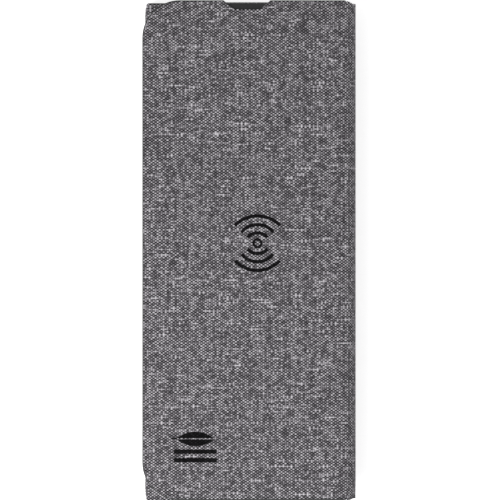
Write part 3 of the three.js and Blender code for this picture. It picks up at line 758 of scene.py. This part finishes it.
def litz_finish():
    """Twisted bundle of enamelled copper: slanting bright and dark strands round the coil."""
    material, tree, shader = new_finish("enamelled_strands", Metallic=1.0, Roughness=0.34)
    where = place_node(tree, "ShaderNodeTexCoord").outputs["Object"]
    centre = (-coil_middle.x, -coil_middle.y, 0)
    moved = place_node(tree, "ShaderNodeMapping", {"Vector": where, "Location": centre})
    parts = place_node(tree, "ShaderNodeSeparateXYZ", {"Vector": moved.outputs[0]})
    angle = reckon(tree, "ARCTAN2", parts.outputs["Y"], parts.outputs["X"])
    distance = place_node(
        tree, "ShaderNodeVectorMath", {0: moved.outputs[0]}, operation="LENGTH"
    ).outputs["Value"]
    lay = reckon(tree, "MULTIPLY_ADD", distance, 9000.0, reckon(tree, "MULTIPLY", angle, 260.0))
    strand = reckon(tree, "MULTIPLY_ADD", reckon(tree, "SINE", lay), 0.5, 0.5)
    stops = [(0.0, (0.16, 0.055, 0.022)), (0.6, (0.52, 0.22, 0.09)), (1.0, (0.78, 0.40, 0.20))]
    join(tree, ramp(tree, strand, stops), shader.inputs["Base Color"])
    relief = place_node(tree, "ShaderNodeBump", {"Strength": 0.6, "Distance": 0.00006, "Height": strand})
    join(tree, relief.outputs[0], shader.inputs["Normal"])
    return material


def foam_finish():
    """Open-cell foam: dark walls round darker holes."""
    material, tree, shader = new_finish("open_cell_foam", Roughness=0.96)
    where = place_node(tree, "ShaderNodeTexCoord").outputs["Object"]
    cells = place_node(tree, "ShaderNodeTexVoronoi", {"Vector": where, "Scale": 2200.0})
    stops = [(0.1, (0.055, 0.055, 0.058)), (0.7, (0.018, 0.018, 0.019))]
    join(tree, ramp(tree, cells.outputs["Distance"], stops), shader.inputs["Base Color"])
    relief = place_node(
        tree,
        "ShaderNodeBump",
        {"Strength": 0.8, "Distance": 0.00015, "Height": cells.outputs["Distance"]},
        invert=True,
    )
    join(tree, relief.outputs[0], shader.inputs["Normal"])
    return material


ferrite = ferrite_finish()
foam = foam_finish()
litz = litz_finish()
for node in ("ferrite_shield", "power_inductor"):
    dress(node, ferrite)
for node in ("charging_coil", "coil_outer_lead", "coil_inner_lead"):
    dress(node, litz)

pad_low, pad_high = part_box("coil_foam_pad")
pad_middle = (pad_low + pad_high) / 2
pad_radius = (pad_high.x - pad_low.x) / 2
PAD_ROUND = 0.00035
PAD_SIDES = 72
PAD_RINGS = 4
bpy.ops.mesh.primitive_cylinder_add(
    vertices=PAD_SIDES, radius=pad_radius - PAD_ROUND, depth=pad_high.z - pad_low.z, location=pad_middle
)
pad = take_up("coil_cushion")
bpy.ops.object.mode_set(mode="EDIT")
for facing in (-1, 1):
    pick_faces(pad, lambda centre, normal: normal.z * facing > FACING)
    for _ in range(PAD_RINGS):
        bpy.ops.mesh.inset(thickness=pad_radius / (PAD_RINGS + 1))
pick_edges(pad, is_rim)
bpy.ops.mesh.bevel(offset=PAD_ROUND, segments=ROUND_STEPS, affect="EDGES")
pick_edges(pad, lambda ends, normals: all(abs(n.z) < SIDEWAYS for n in normals))
bpy.ops.mesh.subdivide(number_cuts=2)
pick_points(pad, lambda p: abs(p.z - pad_middle.z) < PAD_ROUND / 2)
grow = pad_radius / (pad_radius - PAD_ROUND)
bpy.ops.transform.resize(value=(grow, grow, 1), center_override=pad_middle)
bpy.ops.object.mode_set(mode="OBJECT")
smooth(pad)
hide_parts("coil_foam_pad")
settle(pad, "charging_flap", foam)

# ----------------------------------------------------------------------------------------------- covers
# Each panel is covered by two cut sheets of a plain-woven melange cloth, one on each face. They are turned
# down over the board's edge and meet at a seam half way, where a hot tool presses the edge smooth; its
# darker grey is partly painted shade for the turned-down edge. At a fold the cloth isn't pressed, and the
# front sheet has a notch over the socket.

CLOTH_THICK = 0.0005
WARP_PITCH_MM = 0.8
WEFT_PITCH_MM = 0.56
YARN_STEP = 7.31
SPUN_CHANGE = 0.16
SPUN_DEPTH = 1.1
OWN_TONE = 0.3
SLUB_TONE = 0.4
CLOUD_TONE = 0.04
OVER_CONTRAST = 0.9
WARP_SHARE = 0.35
WEFT_SHARE = 1.4
YARN_GAP_PAINTED_SHADE = 0.55
YARN_ROUND = 0.75
YARN_DIP = 0.45
SLUB_FROM = 0.56
SLUB_TO = 0.66
WARP_STRAY_MM = 0.35
WEFT_STRAY_MM = 0.25
MEAN_TONE = -0.15
LEVEL_ENOUGH = 0.985
FREE_CORNER = 0.015
FOLD_CORNER = 0.001
PRESSED_ROUND = 0.0007
LIP_SOFTNESS = 0.0001
CUTS_ACROSS = 12
CUTS_ALONG = 28
CLOSE_POINTS = 0.0002
TURN_DOWN = 0.003
MM = 1000.0


def build_weave():
    """The plain weave as a group: yarns of mixed dark and pale fibre, over and under each other, with
    painted shade in the gaps between them.
    """
    tree = bpy.data.node_groups.new("melange_weave", "ShaderNodeTree")
    sockets = tree.interface
    sockets.new_socket("Cloth", in_out="INPUT", socket_type="NodeSocketVector")
    sockets.new_socket("Warp Pitch", in_out="INPUT", socket_type="NodeSocketFloat")
    sockets.new_socket("Weft Pitch", in_out="INPUT", socket_type="NodeSocketFloat")
    sockets.new_socket("Fleck", in_out="INPUT", socket_type="NodeSocketFloat")
    sockets.new_socket("Tone", in_out="OUTPUT", socket_type="NodeSocketFloat")
    sockets.new_socket("Height", in_out="OUTPUT", socket_type="NodeSocketFloat")
    given = tree.nodes.new("NodeGroupInput").outputs
    made = tree.nodes.new("NodeGroupOutput").inputs

    def noise(x_scale, y_scale, shift):
        mapped = place_node(
            tree,
            "ShaderNodeMapping",
            {"Vector": given["Cloth"], "Location": (shift, shift, shift), "Scale": (x_scale, y_scale, 1)},
        )
        texture = place_node(
            tree,
            "ShaderNodeTexNoise",
            {"Vector": mapped.outputs[0], "Scale": 1.0, "Detail": 2.0},
            noise_dimensions="2D",
        )
        return texture.outputs["Fac"]

    def chance(first, second, shift):
        pair = place_node(tree, "ShaderNodeCombineXYZ", {"X": first, "Y": second, "Z": shift})
        return place_node(tree, "ShaderNodeTexWhiteNoise", {"Vector": pair.outputs[0]}).outputs["Value"]

    parts = place_node(tree, "ShaderNodeSeparateXYZ", {"Vector": given["Cloth"]})
    stray_x = reckon(tree, "MULTIPLY_ADD", noise(0.35, 0.12, 3.0), WARP_STRAY_MM, parts.outputs["X"])
    stray_y = reckon(tree, "MULTIPLY_ADD", noise(0.12, 0.35, 17.0), WEFT_STRAY_MM, parts.outputs["Y"])
    across = reckon(tree, "DIVIDE", stray_x, given["Warp Pitch"])
    along = reckon(tree, "DIVIDE", stray_y, given["Weft Pitch"])
    warp = reckon(tree, "FLOOR", across)
    weft = reckon(tree, "FLOOR", along)
    in_warp = reckon(tree, "MULTIPLY_ADD", reckon(tree, "SUBTRACT", across, warp), 2.0, -1.0)
    in_weft = reckon(tree, "MULTIPLY_ADD", reckon(tree, "SUBTRACT", along, weft), 2.0, -1.0)
    count = reckon(tree, "MULTIPLY", reckon(tree, "ADD", warp, weft), 0.5)
    weft_over = reckon(tree, "MULTIPLY", reckon(tree, "FRACT", count), 2.0)

    def swell(crossing, running):
        round_back = reckon(tree, "MULTIPLY", reckon(tree, "MULTIPLY", crossing, crossing), -YARN_ROUND)
        dip = reckon(tree, "MULTIPLY", reckon(tree, "MULTIPLY", running, running), -YARN_DIP)
        return reckon(tree, "MULTIPLY", reckon(tree, "ADD", round_back, 1.0), reckon(tree, "ADD", dip, 1.0))

    def choose(first, second):
        mix = place_node(tree, "ShaderNodeMix", {0: weft_over})
        join(tree, first, mix.inputs[2])
        join(tree, second, mix.inputs[3])
        return mix.outputs[0]

    def spun(yarn, run, shift):
        own = chance(yarn, 0.0, shift)
        place = place_node(
            tree,
            "ShaderNodeCombineXYZ",
            {
                "X": reckon(tree, "MULTIPLY", yarn, YARN_STEP),
                "Y": reckon(tree, "MULTIPLY", run, SPUN_CHANGE),
                "Z": shift,
            },
        )
        texture = place_node(
            tree, "ShaderNodeTexNoise", {"Vector": place.outputs[0], "Scale": 1.0, "Detail": 3.0}
        )
        varied = reckon(tree, "MULTIPLY_ADD", texture.outputs["Fac"], SPUN_DEPTH, -0.5 * SPUN_DEPTH)
        thick = place_node(
            tree,
            "ShaderNodeMapRange",
            {
                "Value": texture.outputs["Fac"],
                "From Min": SLUB_FROM,
                "From Max": SLUB_TO,
                "To Max": SLUB_TONE,
            },
        )
        uneven = reckon(tree, "ADD", varied, thick.outputs[0])
        return reckon(tree, "MULTIPLY_ADD", own, OWN_TONE, uneven)

    height = choose(swell(in_warp, in_weft), swell(in_weft, in_warp))
    warp_tone = reckon(tree, "MULTIPLY_ADD", spun(warp, stray_y, 1.37), WARP_SHARE, 0.5 * OVER_CONTRAST)
    weft_tone = reckon(tree, "MULTIPLY_ADD", spun(weft, stray_x, 5.71), WEFT_SHARE, -0.5 * OVER_CONTRAST)
    yarn = choose(warp_tone, weft_tone)
    fleck = reckon(tree, "SUBTRACT", chance(warp, weft, 3.0), 0.5)
    speckled = reckon(tree, "MULTIPLY_ADD", fleck, given["Fleck"], yarn)
    clouded = reckon(tree, "MULTIPLY_ADD", noise(0.09, 0.14, 41.0), CLOUD_TONE, speckled)
    # The yarns' height darkens the gaps between them: painted shade, on top of the bump.
    shaded = reckon(tree, "MULTIPLY_ADD", height, YARN_GAP_PAINTED_SHADE, clouded)
    join(tree, reckon(tree, "ADD", shaded, MEAN_TONE), made["Tone"])
    join(tree, height, made["Height"])
    return tree


weave = build_weave()


def weave_in(tree, fleck):
    """The weave on a piece's own cloth map, inside a material."""
    laid = place_node(tree, "ShaderNodeUVMap", uv_map="weave").outputs["UV"]
    node = place_node(tree, "ShaderNodeGroup", node_tree=weave)
    join(tree, laid, node.inputs["Cloth"])
    join(tree, WARP_PITCH_MM, node.inputs["Warp Pitch"])
    join(tree, WEFT_PITCH_MM, node.inputs["Weft Pitch"])
    join(tree, fleck, node.inputs["Fleck"])
    return node.outputs["Tone"], node.outputs["Height"]


def cloth_finish():
    """Grey melange with a faint violet cast."""
    material, tree, shader = new_finish(
        "melange_cloth", Roughness=0.9, Specular_IOR_Level=0.15, Sheen_Weight=0.06
    )
    tone, height = weave_in(tree, 0.45)
    stops = [
        (0.0, (0.010, 0.010, 0.011)),
        (0.25, (0.036, 0.034, 0.037)),
        (0.5, (0.098, 0.092, 0.101)),
        (0.75, (0.225, 0.212, 0.23)),
        (1.0, (0.50, 0.485, 0.51)),
    ]
    join(tree, ramp(tree, tone, stops), shader.inputs["Base Color"])
    relief = place_node(tree, "ShaderNodeBump", {"Strength": 0.5, "Distance": 0.0001, "Height": height})
    join(tree, relief.outputs[0], shader.inputs["Normal"])
    return material


def shaded_pressed_finish():
    """Cloth melted smooth by the edge tool, with only a ghost of the weave; its flat dark grey is partly
    painted shade for the turned-down edge.
    """
    material, tree, shader = new_finish("painted_shade_pressed_edge", Roughness=0.7, Specular_IOR_Level=0.3)
    tone, height = weave_in(tree, 0.4)
    faint = place_node(tree, "ShaderNodeMapRange", {"Value": tone, "To Min": 0.35, "To Max": 0.65})
    stops = [(0.3, (0.018, 0.019, 0.019)), (0.7, (0.034, 0.036, 0.0355))]
    join(tree, ramp(tree, faint.outputs[0], stops), shader.inputs["Base Color"])
    relief = place_node(tree, "ShaderNodeBump", {"Strength": 0.15, "Distance": 0.00006, "Height": height})
    join(tree, relief.outputs[0], shader.inputs["Normal"])
    return material


cloth = cloth_finish()
# The pressed edge's finish is darker than the cloth, partly as painted shade for the turned-down edge.
pressed = shaded_pressed_finish()


def lay_cloth_map(cover, low, high, crown, corner_left, corner_right, shift):
    """Gives a cover's points their place on the flat cloth, in millimetres, turned out over the edges."""
    layer = cover.data.uv_layers.active
    layer.name = "weave"
    middle = (low.x + high.x) / 2
    for loop in cover.data.loops:
        point = cover.data.vertices[loop.vertex_index].co
        corner = corner_left if point.x < middle else corner_right
        inner_x = min(max(point.x, low.x + corner_left), high.x - corner_right)
        inner_y = min(max(point.y, low.y + corner), high.y - corner)
        out = Vector((point.x - inner_x, point.y - inner_y))
        if out.length > SPECK:
            out.normalize()
        drop = abs(point.z - crown)
        u = MM * (point.x + out.x * drop) + shift
        v = MM * (point.y + out.y * drop) - shift
        layer.data[loop.index].uv = (u, v)


def corner_steps(radius):
    """How many straight stretches a round corner needs."""
    return 16 if radius > FOLD_CORNER else 4


def sew_cover(name, node, body, crown_up, folds, shift):
    """A panel's front or back sheet: a rounded crown, a turned-down edge and the cloth's thickness."""
    low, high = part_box(node)
    crown, lip = (high.z, low.z) if crown_up else (low.z, high.z)
    left_corner = FOLD_CORNER if "left" in folds else FREE_CORNER
    right_corner = FOLD_CORNER if "right" in folds else FREE_CORNER
    cover = add_plate(name, low, high, crown)
    middle = (low.x + high.x) / 2
    pick_points(cover, lambda p: p.x < middle)
    bpy.ops.mesh.bevel(offset=left_corner, segments=corner_steps(left_corner), affect="VERTICES")
    pick_points(cover, lambda p: p.x > high.x - SPECK)
    bpy.ops.mesh.bevel(offset=right_corner, segments=corner_steps(right_corner), affect="VERTICES")
    for i in range(1, CUTS_ACROSS):
        cut_across(cover, low.lerp(high, i / CUTS_ACROSS), (1, 0, 0))
    for i in range(1, CUTS_ALONG):
        cut_across(cover, low.lerp(high, i / CUTS_ALONG), (0, 1, 0))
    bpy.ops.mesh.select_all(action="SELECT")
    bpy.ops.mesh.remove_doubles(threshold=CLOSE_POINTS)
    bpy.ops.mesh.region_to_loop()
    bpy.ops.mesh.extrude_edges_move(TRANSFORM_OT_translate={"value": (0, 0, lip - crown)})
    turn_outwards(cover, crown_up)
    bpy.ops.mesh.select_all(action="SELECT")
    bpy.ops.mesh.normals_make_consistent(inside=False)
    turn_outwards(cover, crown_up)
    pick_edges(
        cover,
        lambda ends, normals: is_rim(ends, normals)
        and not ("right" in folds and all(p.x > high.x - SPECK for p in ends)),
    )
    bpy.ops.mesh.bevel(offset=PRESSED_ROUND, segments=5, affect="EDGES")
    give_wall(cover, CLOTH_THICK)
    soften(cover, LIP_SOFTNESS)
    inner_left = low.x + ("left" in folds) * 2 * PRESSED_ROUND
    inner_right = high.x - ("right" in folds) * 2 * PRESSED_ROUND
    lay_cloth_map(cover, low, high, crown, left_corner, right_corner, shift)
    smooth(cover)
    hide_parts(node)
    settle(cover, body, [cloth, pressed])
    # Level crown faces and faces at a fold take the cloth; the turned-down edge takes the pressed finish,
    # whose darker grey is partly painted shade.
    for face in cover.data.polygons:
        level = abs(face.normal.z) > LEVEL_ENOUGH and abs(face.center.z - crown) < PRESSED_ROUND
        at_fold = face.center.x < inner_left or face.center.x > inner_right
        face.material_index = 0 if level or at_fold else 1
    flat = (high.x - low.x + 2 * TURN_DOWN, high.y - low.y + 2 * TURN_DOWN)
    return cover, flat


LOWER_COVERS = (
    ("base_front", "base_panel", "base_board", True, ("left",), 311.0),
    ("base_back", "base_panel", "base_board", False, ("left",), 523.0),
    ("middle_front", "middle_panel", "middle_board", False, ("left", "right"), 719.0),
    ("middle_back", "middle_panel", "middle_board", True, ("left", "right"), 907.0),
)
for side, body, board, crown_up, folds, shift in LOWER_COVERS:
    cover, cover_flat = sew_cover(f"{side}_cover", f"{side}_fabric", body, crown_up, folds, shift)
flap_front, flap_front_flat = sew_cover(
    "flap_front_cover", "flap_front_fabric", "charging_flap", True, ("right",), 0.0
)
flap_back, flap_back_flat = sew_cover(
    "flap_back_cover", "flap_back_fabric", "charging_flap", False, ("right",), 127.0
)

NOTCH_MOUTH = 0.0188
NOTCH_FLOOR = 0.0108
NOTCH_DEPTH = 0.0037
NOTCH_ROUND = 0.0008

flap_low, flap_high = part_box("flap_front_fabric")
notch = add_plate(
    "notch_tool",
    (socket_middle.x - NOTCH_MOUTH / 2, flap_high.y - NOTCH_DEPTH),
    (socket_middle.x + NOTCH_MOUTH / 2, flap_high.y),
    flap_low.z - NOTCH_DEPTH,
)
pick_points(notch, lambda p: p.y < flap_high.y - NOTCH_DEPTH / 2)
bpy.ops.transform.resize(
    value=(NOTCH_FLOOR / NOTCH_MOUTH, 1, 1),
    center_override=(socket_middle.x, flap_high.y - NOTCH_DEPTH, 0),
)
bpy.ops.mesh.bevel(offset=NOTCH_ROUND, segments=6, affect="VERTICES")
pick_edges(notch, lambda ends, normals: all(p.y > flap_high.y - SPECK for p in ends))
bpy.ops.mesh.extrude_edges_move(TRANSFORM_OT_translate={"value": (0, NOTCH_DEPTH, 0)})
bpy.ops.mesh.select_all(action="SELECT")
bpy.ops.mesh.extrude_region_move(TRANSFORM_OT_translate={"value": (0, 0, 4 * NOTCH_DEPTH)})
bpy.ops.mesh.select_all(action="SELECT")
bpy.ops.mesh.normals_make_consistent(inside=False)
bpy.ops.object.mode_set(mode="OBJECT")
cut_out(flap_front, notch)

gap = add_plate(
    "skirt_tool",
    (socket_middle.x - NOTCH_MOUTH / 2, flap_high.y - CLOTH_THICK - LIP_SOFTNESS / 2),
    (socket_middle.x + NOTCH_MOUTH / 2, flap_high.y + NOTCH_DEPTH),
    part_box("flap_back_fabric")[0].z - NOTCH_DEPTH,
)
bpy.ops.mesh.extrude_region_move(TRANSFORM_OT_translate={"value": (0, 0, 4 * NOTCH_DEPTH)})
bpy.ops.mesh.select_all(action="SELECT")
bpy.ops.mesh.normals_make_consistent(inside=False)
bpy.ops.object.mode_set(mode="OBJECT")
cut_out(flap_back, gap)

# ------------------------------------------------------------------------------------------------ prints
# The front of the flap carries two screen prints in matt black ink: a sign of a ring between three pairs of
# arcs over the coil, and a small leaf over two plain bars near the lower left corner.

INK_THICK = 0.00003
SCREEN_SHIFT = -0.0005
RING_RADIUS = 0.00155
RING_STROKE = 0.00095
ARC_STROKE = 0.00132
ARC_SIDES = 128
ARCS = ((0.00412, 0.00544, 47.3), (0.00744, 0.00804, 51.8), (0.01088, 0.01236, 46.7))
LEAF_MIDDLE = (-0.0197, -0.0755)
LEAF_LENGTH = 0.0148
LEAF_WIDTH = 0.0058
LEAF_VEIN = 0.0005
STEM = (-0.0281, -0.0755, 0.0024, 0.0006)
BAR_ROUND = 0.3
BARS = ((-0.0197, -0.0806, 0.0172, 0.0017), (-0.0197, -0.0840, 0.0172, 0.0017))


def ink_finish():
    """Black ink that has soaked into the yarns, so that the weave still shows."""
    material, tree, shader = new_finish("black_ink", Roughness=0.8, Specular_IOR_Level=0.05)
    tone, height = weave_in(tree, 0.5)
    stops = [(0.1, (0.002, 0.002, 0.0022)), (0.6, (0.005, 0.005, 0.0053)), (1.0, (0.014, 0.014, 0.015))]
    join(tree, ramp(tree, tone, stops), shader.inputs["Base Color"])
    relief = place_node(tree, "ShaderNodeBump", {"Strength": 0.5, "Distance": 0.0001, "Height": height})
    join(tree, relief.outputs[0], shader.inputs["Normal"])
    return material


ink = ink_finish()
ink_level = flap_high.z + INK_THICK / 3
sign_middle = Vector((coil_middle.x + SCREEN_SHIFT, coil_middle.y, ink_level))


def thicken_ink(name):
    """Makes a flat printed shape a thin film of ink."""
    bpy.ops.mesh.select_all(action="SELECT")
    bpy.ops.mesh.extrude_region_move(TRANSFORM_OT_translate={"value": (0, 0, INK_THICK)})
    bpy.ops.mesh.select_all(action="SELECT")
    bpy.ops.mesh.normals_make_consistent(inside=False)
    bpy.ops.object.mode_set(mode="OBJECT")
    return take_up(name)


def print_arc(name, centre, radius, half_angle, side, stroke):
    """A stroke along part of a circle, with its ends cut square. A half angle of 180 leaves it whole."""
    inner = radius - stroke / 2
    outer = radius + stroke / 2
    bpy.ops.mesh.primitive_circle_add(vertices=ARC_SIDES, radius=inner, location=centre)
    arc = take_up(name)
    bpy.ops.object.mode_set(mode="EDIT")
    bpy.ops.mesh.select_all(action="SELECT")
    bpy.ops.mesh.extrude_edges_move(TRANSFORM_OT_translate={"value": (0, 0, 0)})
    grow = outer / inner
    bpy.ops.transform.resize(value=(grow, grow, 1), center_override=centre)
    if half_angle < 180:
        for turn in (-1, 1):
            angle = math.radians(half_angle)
            bpy.ops.mesh.select_all(action="SELECT")
            bpy.ops.mesh.bisect(
                plane_co=centre,
                plane_no=(turn * math.cos(angle), -side * math.sin(angle), 0),
                clear_outer=True,
            )
        pick_points(arc, lambda p: (p.y - centre.y) * side < 0)
        bpy.ops.mesh.delete(type="VERT")
    return thicken_ink(name)


def gather(parts, name):
    """Joins printed strokes into one piece."""
    bpy.ops.object.select_all(action="DESELECT")
    for part in parts:
        part.select_set(True)
    bpy.context.view_layer.objects.active = parts[0]
    bpy.ops.object.join()
    parts[0].name = name
    parts[0].data.name = name
    return parts[0]


def lay_print(piece):
    """The print takes the cloth's own weave, and goes with the flap."""
    layer = piece.data.uv_layers.active or piece.data.uv_layers.new()
    layer.name = "weave"
    for loop in piece.data.loops:
        point = piece.data.vertices[loop.vertex_index].co
        layer.data[loop.index].uv = (MM * point.x, MM * point.y)
    settle(piece, "charging_flap", ink)


strokes = [print_arc("ring", sign_middle, RING_RADIUS, 180, 1, RING_STROKE)]
for side in (-1, 1):
    for apex, radius, half_angle in ARCS:
        centre = sign_middle + Vector((0, side * (apex - radius), 0))
        strokes.append(print_arc("arc", centre, radius, half_angle, side, ARC_STROKE))
sign = gather(strokes, "printed_wave_sign")
lay_print(sign)

flap_middle_y = (flap_low.y + flap_high.y) / 2
flap_middle_x = (flap_low.x + flap_high.x) / 2
leaf_place = Vector((flap_middle_x + LEAF_MIDDLE[0], flap_middle_y + LEAF_MIDDLE[1], ink_level))


def print_half_leaf(side):
    """Half a leaf, from its vein to the round of its edge."""
    rise = (LEAF_WIDTH - LEAF_VEIN) / 2
    radius = (rise**2 + (LEAF_LENGTH / 2) ** 2) / (2 * rise)
    vein = leaf_place + Vector((0, side * LEAF_VEIN / 2, 0))
    bpy.ops.mesh.primitive_circle_add(
        vertices=ARC_SIDES,
        radius=radius,
        fill_type="NGON",
        location=vein + Vector((0, side * (rise - radius), 0)),
    )
    take_up("half_leaf")
    bpy.ops.object.mode_set(mode="EDIT")
    bpy.ops.mesh.select_all(action="SELECT")
    bpy.ops.mesh.bisect(plane_co=vein, plane_no=(0, side, 0), clear_inner=True)
    return thicken_ink("half_leaf")


marks = [print_half_leaf(1), print_half_leaf(-1)]
for x, y, width, height in (STEM, *BARS):
    low = (flap_middle_x + x - width / 2, flap_middle_y + y - height / 2)
    high = (flap_middle_x + x + width / 2, flap_middle_y + y + height / 2)
    add_plate("bar", low, high, ink_level)
    bpy.ops.mesh.bevel(offset=BAR_ROUND * height, segments=ROUND_STEPS, affect="VERTICES")
    marks.append(thicken_ink("bar"))
leaf_mark = gather(marks, "printed_leaf_mark")
lay_print(leaf_mark)

# ------------------------------------------------------------------------------------------- inner fold
# Where the base and middle panels meet, their front sheets run into one narrow roll of the same cloth. It
# is the hinge that lets the base panel open, and it sits in the channel between the two rounded edges.

roll_low, roll_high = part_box("inner_fold_roll")
roll_middle = (roll_low + roll_high) / 2
ROLL_RINGS = 60
ROLL_SIDES = 12
ROLL_TAPER = 0.6
ROLL_SMOOTH = 60
roll_radius = (roll_high.z - roll_low.z) / 2
roll_length = roll_high.y - roll_low.y
bpy.ops.mesh.primitive_cylinder_add(
    vertices=ROLL_SIDES,
    radius=roll_radius,
    depth=roll_length,
    location=roll_middle,
    rotation=(math.radians(90), 0, 0),
)
roll = take_up("inner_fold_welt")
bpy.ops.object.mode_set(mode="EDIT")
for i in range(1, ROLL_RINGS):
    cut_across(roll, roll_low.lerp(roll_high, i / ROLL_RINGS), (0, 1, 0))
for end in (-1, 1):
    pick_points(roll, lambda p: (p.y - roll_middle.y) * end > roll_length / 2 - HAIR)
    bpy.ops.transform.resize(value=(ROLL_TAPER, 1, ROLL_TAPER), center_override=roll_middle)
bpy.ops.object.mode_set(mode="OBJECT")
layer = roll.data.uv_layers.active
layer.name = "weave"
for loop in roll.data.loops:
    point = roll.data.vertices[loop.vertex_index].co
    turn = math.atan2(point.z - roll_middle.z, roll_middle.x - point.x)
    layer.data[loop.index].uv = (MM * roll_radius * turn, MM * point.y)
smooth(roll, ROLL_SMOOTH)
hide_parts("inner_fold_roll")
settle(roll, "base_panel", cloth)

# ------------------------------------------------------------------------------------------------- spine
# The outer fold is a soft spine in three layers: the mat's front cloth, a strip of foam that lets it swell
# round the folded panels, and a thin lining glued inside.

SPINE_CUTS = 26
SPINE_ROUND = 0.0017
SPINE_LIP = 0.00026
END_ROUND = 0.0009
FOAM_THICK = 0.001
LINING_THICK = 0.0004
LINING_TUCK = 0.0014
PAD_CLEAR = 0.0005


def bend_spine(name, node, thickness, lip, shift):
    """One layer of the spine: an upright face with a slope to each crease, swollen out from the crease."""
    low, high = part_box(node)
    swell = high.x - low.x
    upright_low = low.z + swell
    upright_high = high.z - swell
    middle = (low + high) / 2
    bpy.ops.mesh.primitive_plane_add(
        size=1, location=(high.x, middle.y, middle.z), rotation=(0, math.radians(90), 0)
    )
    bpy.context.object.scale = (upright_high - upright_low, high.y - low.y, 1)
    layer_piece = take_up(name)
    bpy.ops.object.mode_set(mode="EDIT")
    for edge_z, crease_z in ((upright_high, high.z), (upright_low, low.z)):
        pick_edges(layer_piece, lambda ends, normals: all(abs(p.z - edge_z) < SPECK for p in ends))
        bpy.ops.mesh.extrude_edges_move(
            TRANSFORM_OT_translate={"value": (-swell, 0, crease_z - edge_z)}
        )
        if lip:
            bpy.ops.mesh.extrude_edges_move(TRANSFORM_OT_translate={"value": (-lip, 0, 0)})
    for edge_z in (upright_high, upright_low):
        pick_edges(layer_piece, lambda ends, normals: all(abs(p.z - edge_z) < SPECK for p in ends))
        bpy.ops.mesh.bevel(offset=SPINE_ROUND, segments=6, affect="EDGES")
    for i in range(1, SPINE_CUTS):
        cut_across(layer_piece, low.lerp(high, i / SPINE_CUTS), (0, 1, 0))
    for end, edge_y in ((-1, low.y), (1, high.y)):
        pick_points(
            layer_piece,
            lambda p: abs(p.y - edge_y) < SPECK and p.x > low.x + 0.5 * swell,
        )
        bpy.ops.transform.translate(value=(0, -end * END_ROUND, 0))
    shape = bmesh.from_edit_mesh(layer_piece.data)
    shape.normal_update()
    if sum(face.normal.x * face.calc_area() for face in shape.faces) < 0:
        bpy.ops.mesh.select_all(action="SELECT")
        bpy.ops.mesh.flip_normals()
    give_wall(layer_piece, thickness)
    soften(layer_piece, LIP_SOFTNESS)
    drop_specks(layer_piece)
    uv_layer = layer_piece.data.uv_layers.active
    uv_layer.name = "weave"
    slope = math.sqrt(2)
    for loop in layer_piece.data.loops:
        point = layer_piece.data.vertices[loop.vertex_index].co
        if point.z > upright_high:
            run = (high.z - point.z) * slope
        elif point.z > upright_low:
            run = swell * slope + upright_high - point.z
        else:
            run = swell * slope + upright_high - upright_low + (upright_low - point.z) * slope
        uv_layer.data[loop.index].uv = (MM * (low.x + run) + shift, MM * point.y)
    smooth(layer_piece)
    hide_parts(node)
    return layer_piece


crease = Vector((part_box("spine_outer_fabric")[0].x, 0, 0))
spine_cloth = bend_spine("spine_cover", "spine_outer_fabric", CLOTH_THICK, SPINE_LIP, 0.0)
settle(spine_cloth, "spine", cloth)
spine_pad = bend_spine("spine_padding", "spine_foam", FOAM_THICK, 0, 0.0)
foam_start = crease + Vector((PAD_CLEAR, 0, 0))
bpy.ops.object.mode_set(mode="EDIT")
bpy.ops.mesh.select_all(action="SELECT")
bpy.ops.mesh.bisect(plane_co=foam_start, plane_no=(1, 0, 0), clear_inner=True, use_fill=True)
bpy.ops.object.mode_set(mode="OBJECT")
settle(spine_pad, "spine", foam)
spine_lining = bend_spine("spine_inner_lining", "spine_lining", LINING_THICK, 0, 43.0)
settle(spine_lining, "spine", cloth)
SPINE_SHEETS = ((spine_cloth, "spine_outer_fabric", 0), (spine_lining, "spine_lining", LINING_TUCK))
for sheet, node, tuck in SPINE_SHEETS:
    low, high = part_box(node)
for layer_piece in (spine_cloth, spine_pad, spine_lining):
    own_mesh(layer_piece)


# ------------------------------------------------------------------------------------------ crease beads
# A dark bead of soft material runs down each panel's edge just behind the spine's crease, as painted shade
# for the shadow in the crease. It slopes back far enough for the spine's edge to turn past it.

BEAD_GAP = 0.00002
BEAD_WIDTH = 0.00038
BEAD_RISE = 0.00033
BEAD_THICK = 0.0002
BEAD_BEHIND = 0.00053

spine_low, spine_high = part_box("spine_outer_fabric")


def lay_crease_shade_bead(name, body, crease_z, inward):
    """A dark bead along a panel's edge, painted shade in the crease, sloped to leave the spine's lip free.
    """
    near_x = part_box("middle_front_fabric")[1].x + BEAD_GAP
    far_x = near_x + BEAD_WIDTH
    bead = add_plate(
        name,
        (near_x, spine_low.y + END_ROUND),
        (far_x, spine_high.y - END_ROUND),
        crease_z + inward * BEAD_BEHIND,
    )
    bpy.ops.mesh.select_all(action="SELECT")
    bpy.ops.mesh.extrude_region_move(TRANSFORM_OT_translate={"value": (0, 0, inward * BEAD_THICK)})
    pick_points(bead, lambda p: p.x > (near_x + far_x) / 2)
    bpy.ops.transform.translate(value=(0, 0, inward * BEAD_RISE))
    bpy.ops.mesh.select_all(action="SELECT")
    bpy.ops.mesh.normals_make_consistent(inside=False)
    bpy.ops.object.mode_set(mode="OBJECT")
    soften(bead, BEAD_THICK / 5)
    smooth(bead)
    # The bead takes the dark foam finish, as painted shade in the crease.
    settle(bead, body, foam)


lay_crease_shade_bead("middle_crease_shade_bead", "middle_panel", spine_low.z, 1)
lay_crease_shade_bead("flap_crease_shade_bead", "charging_flap", spine_high.z, -1)
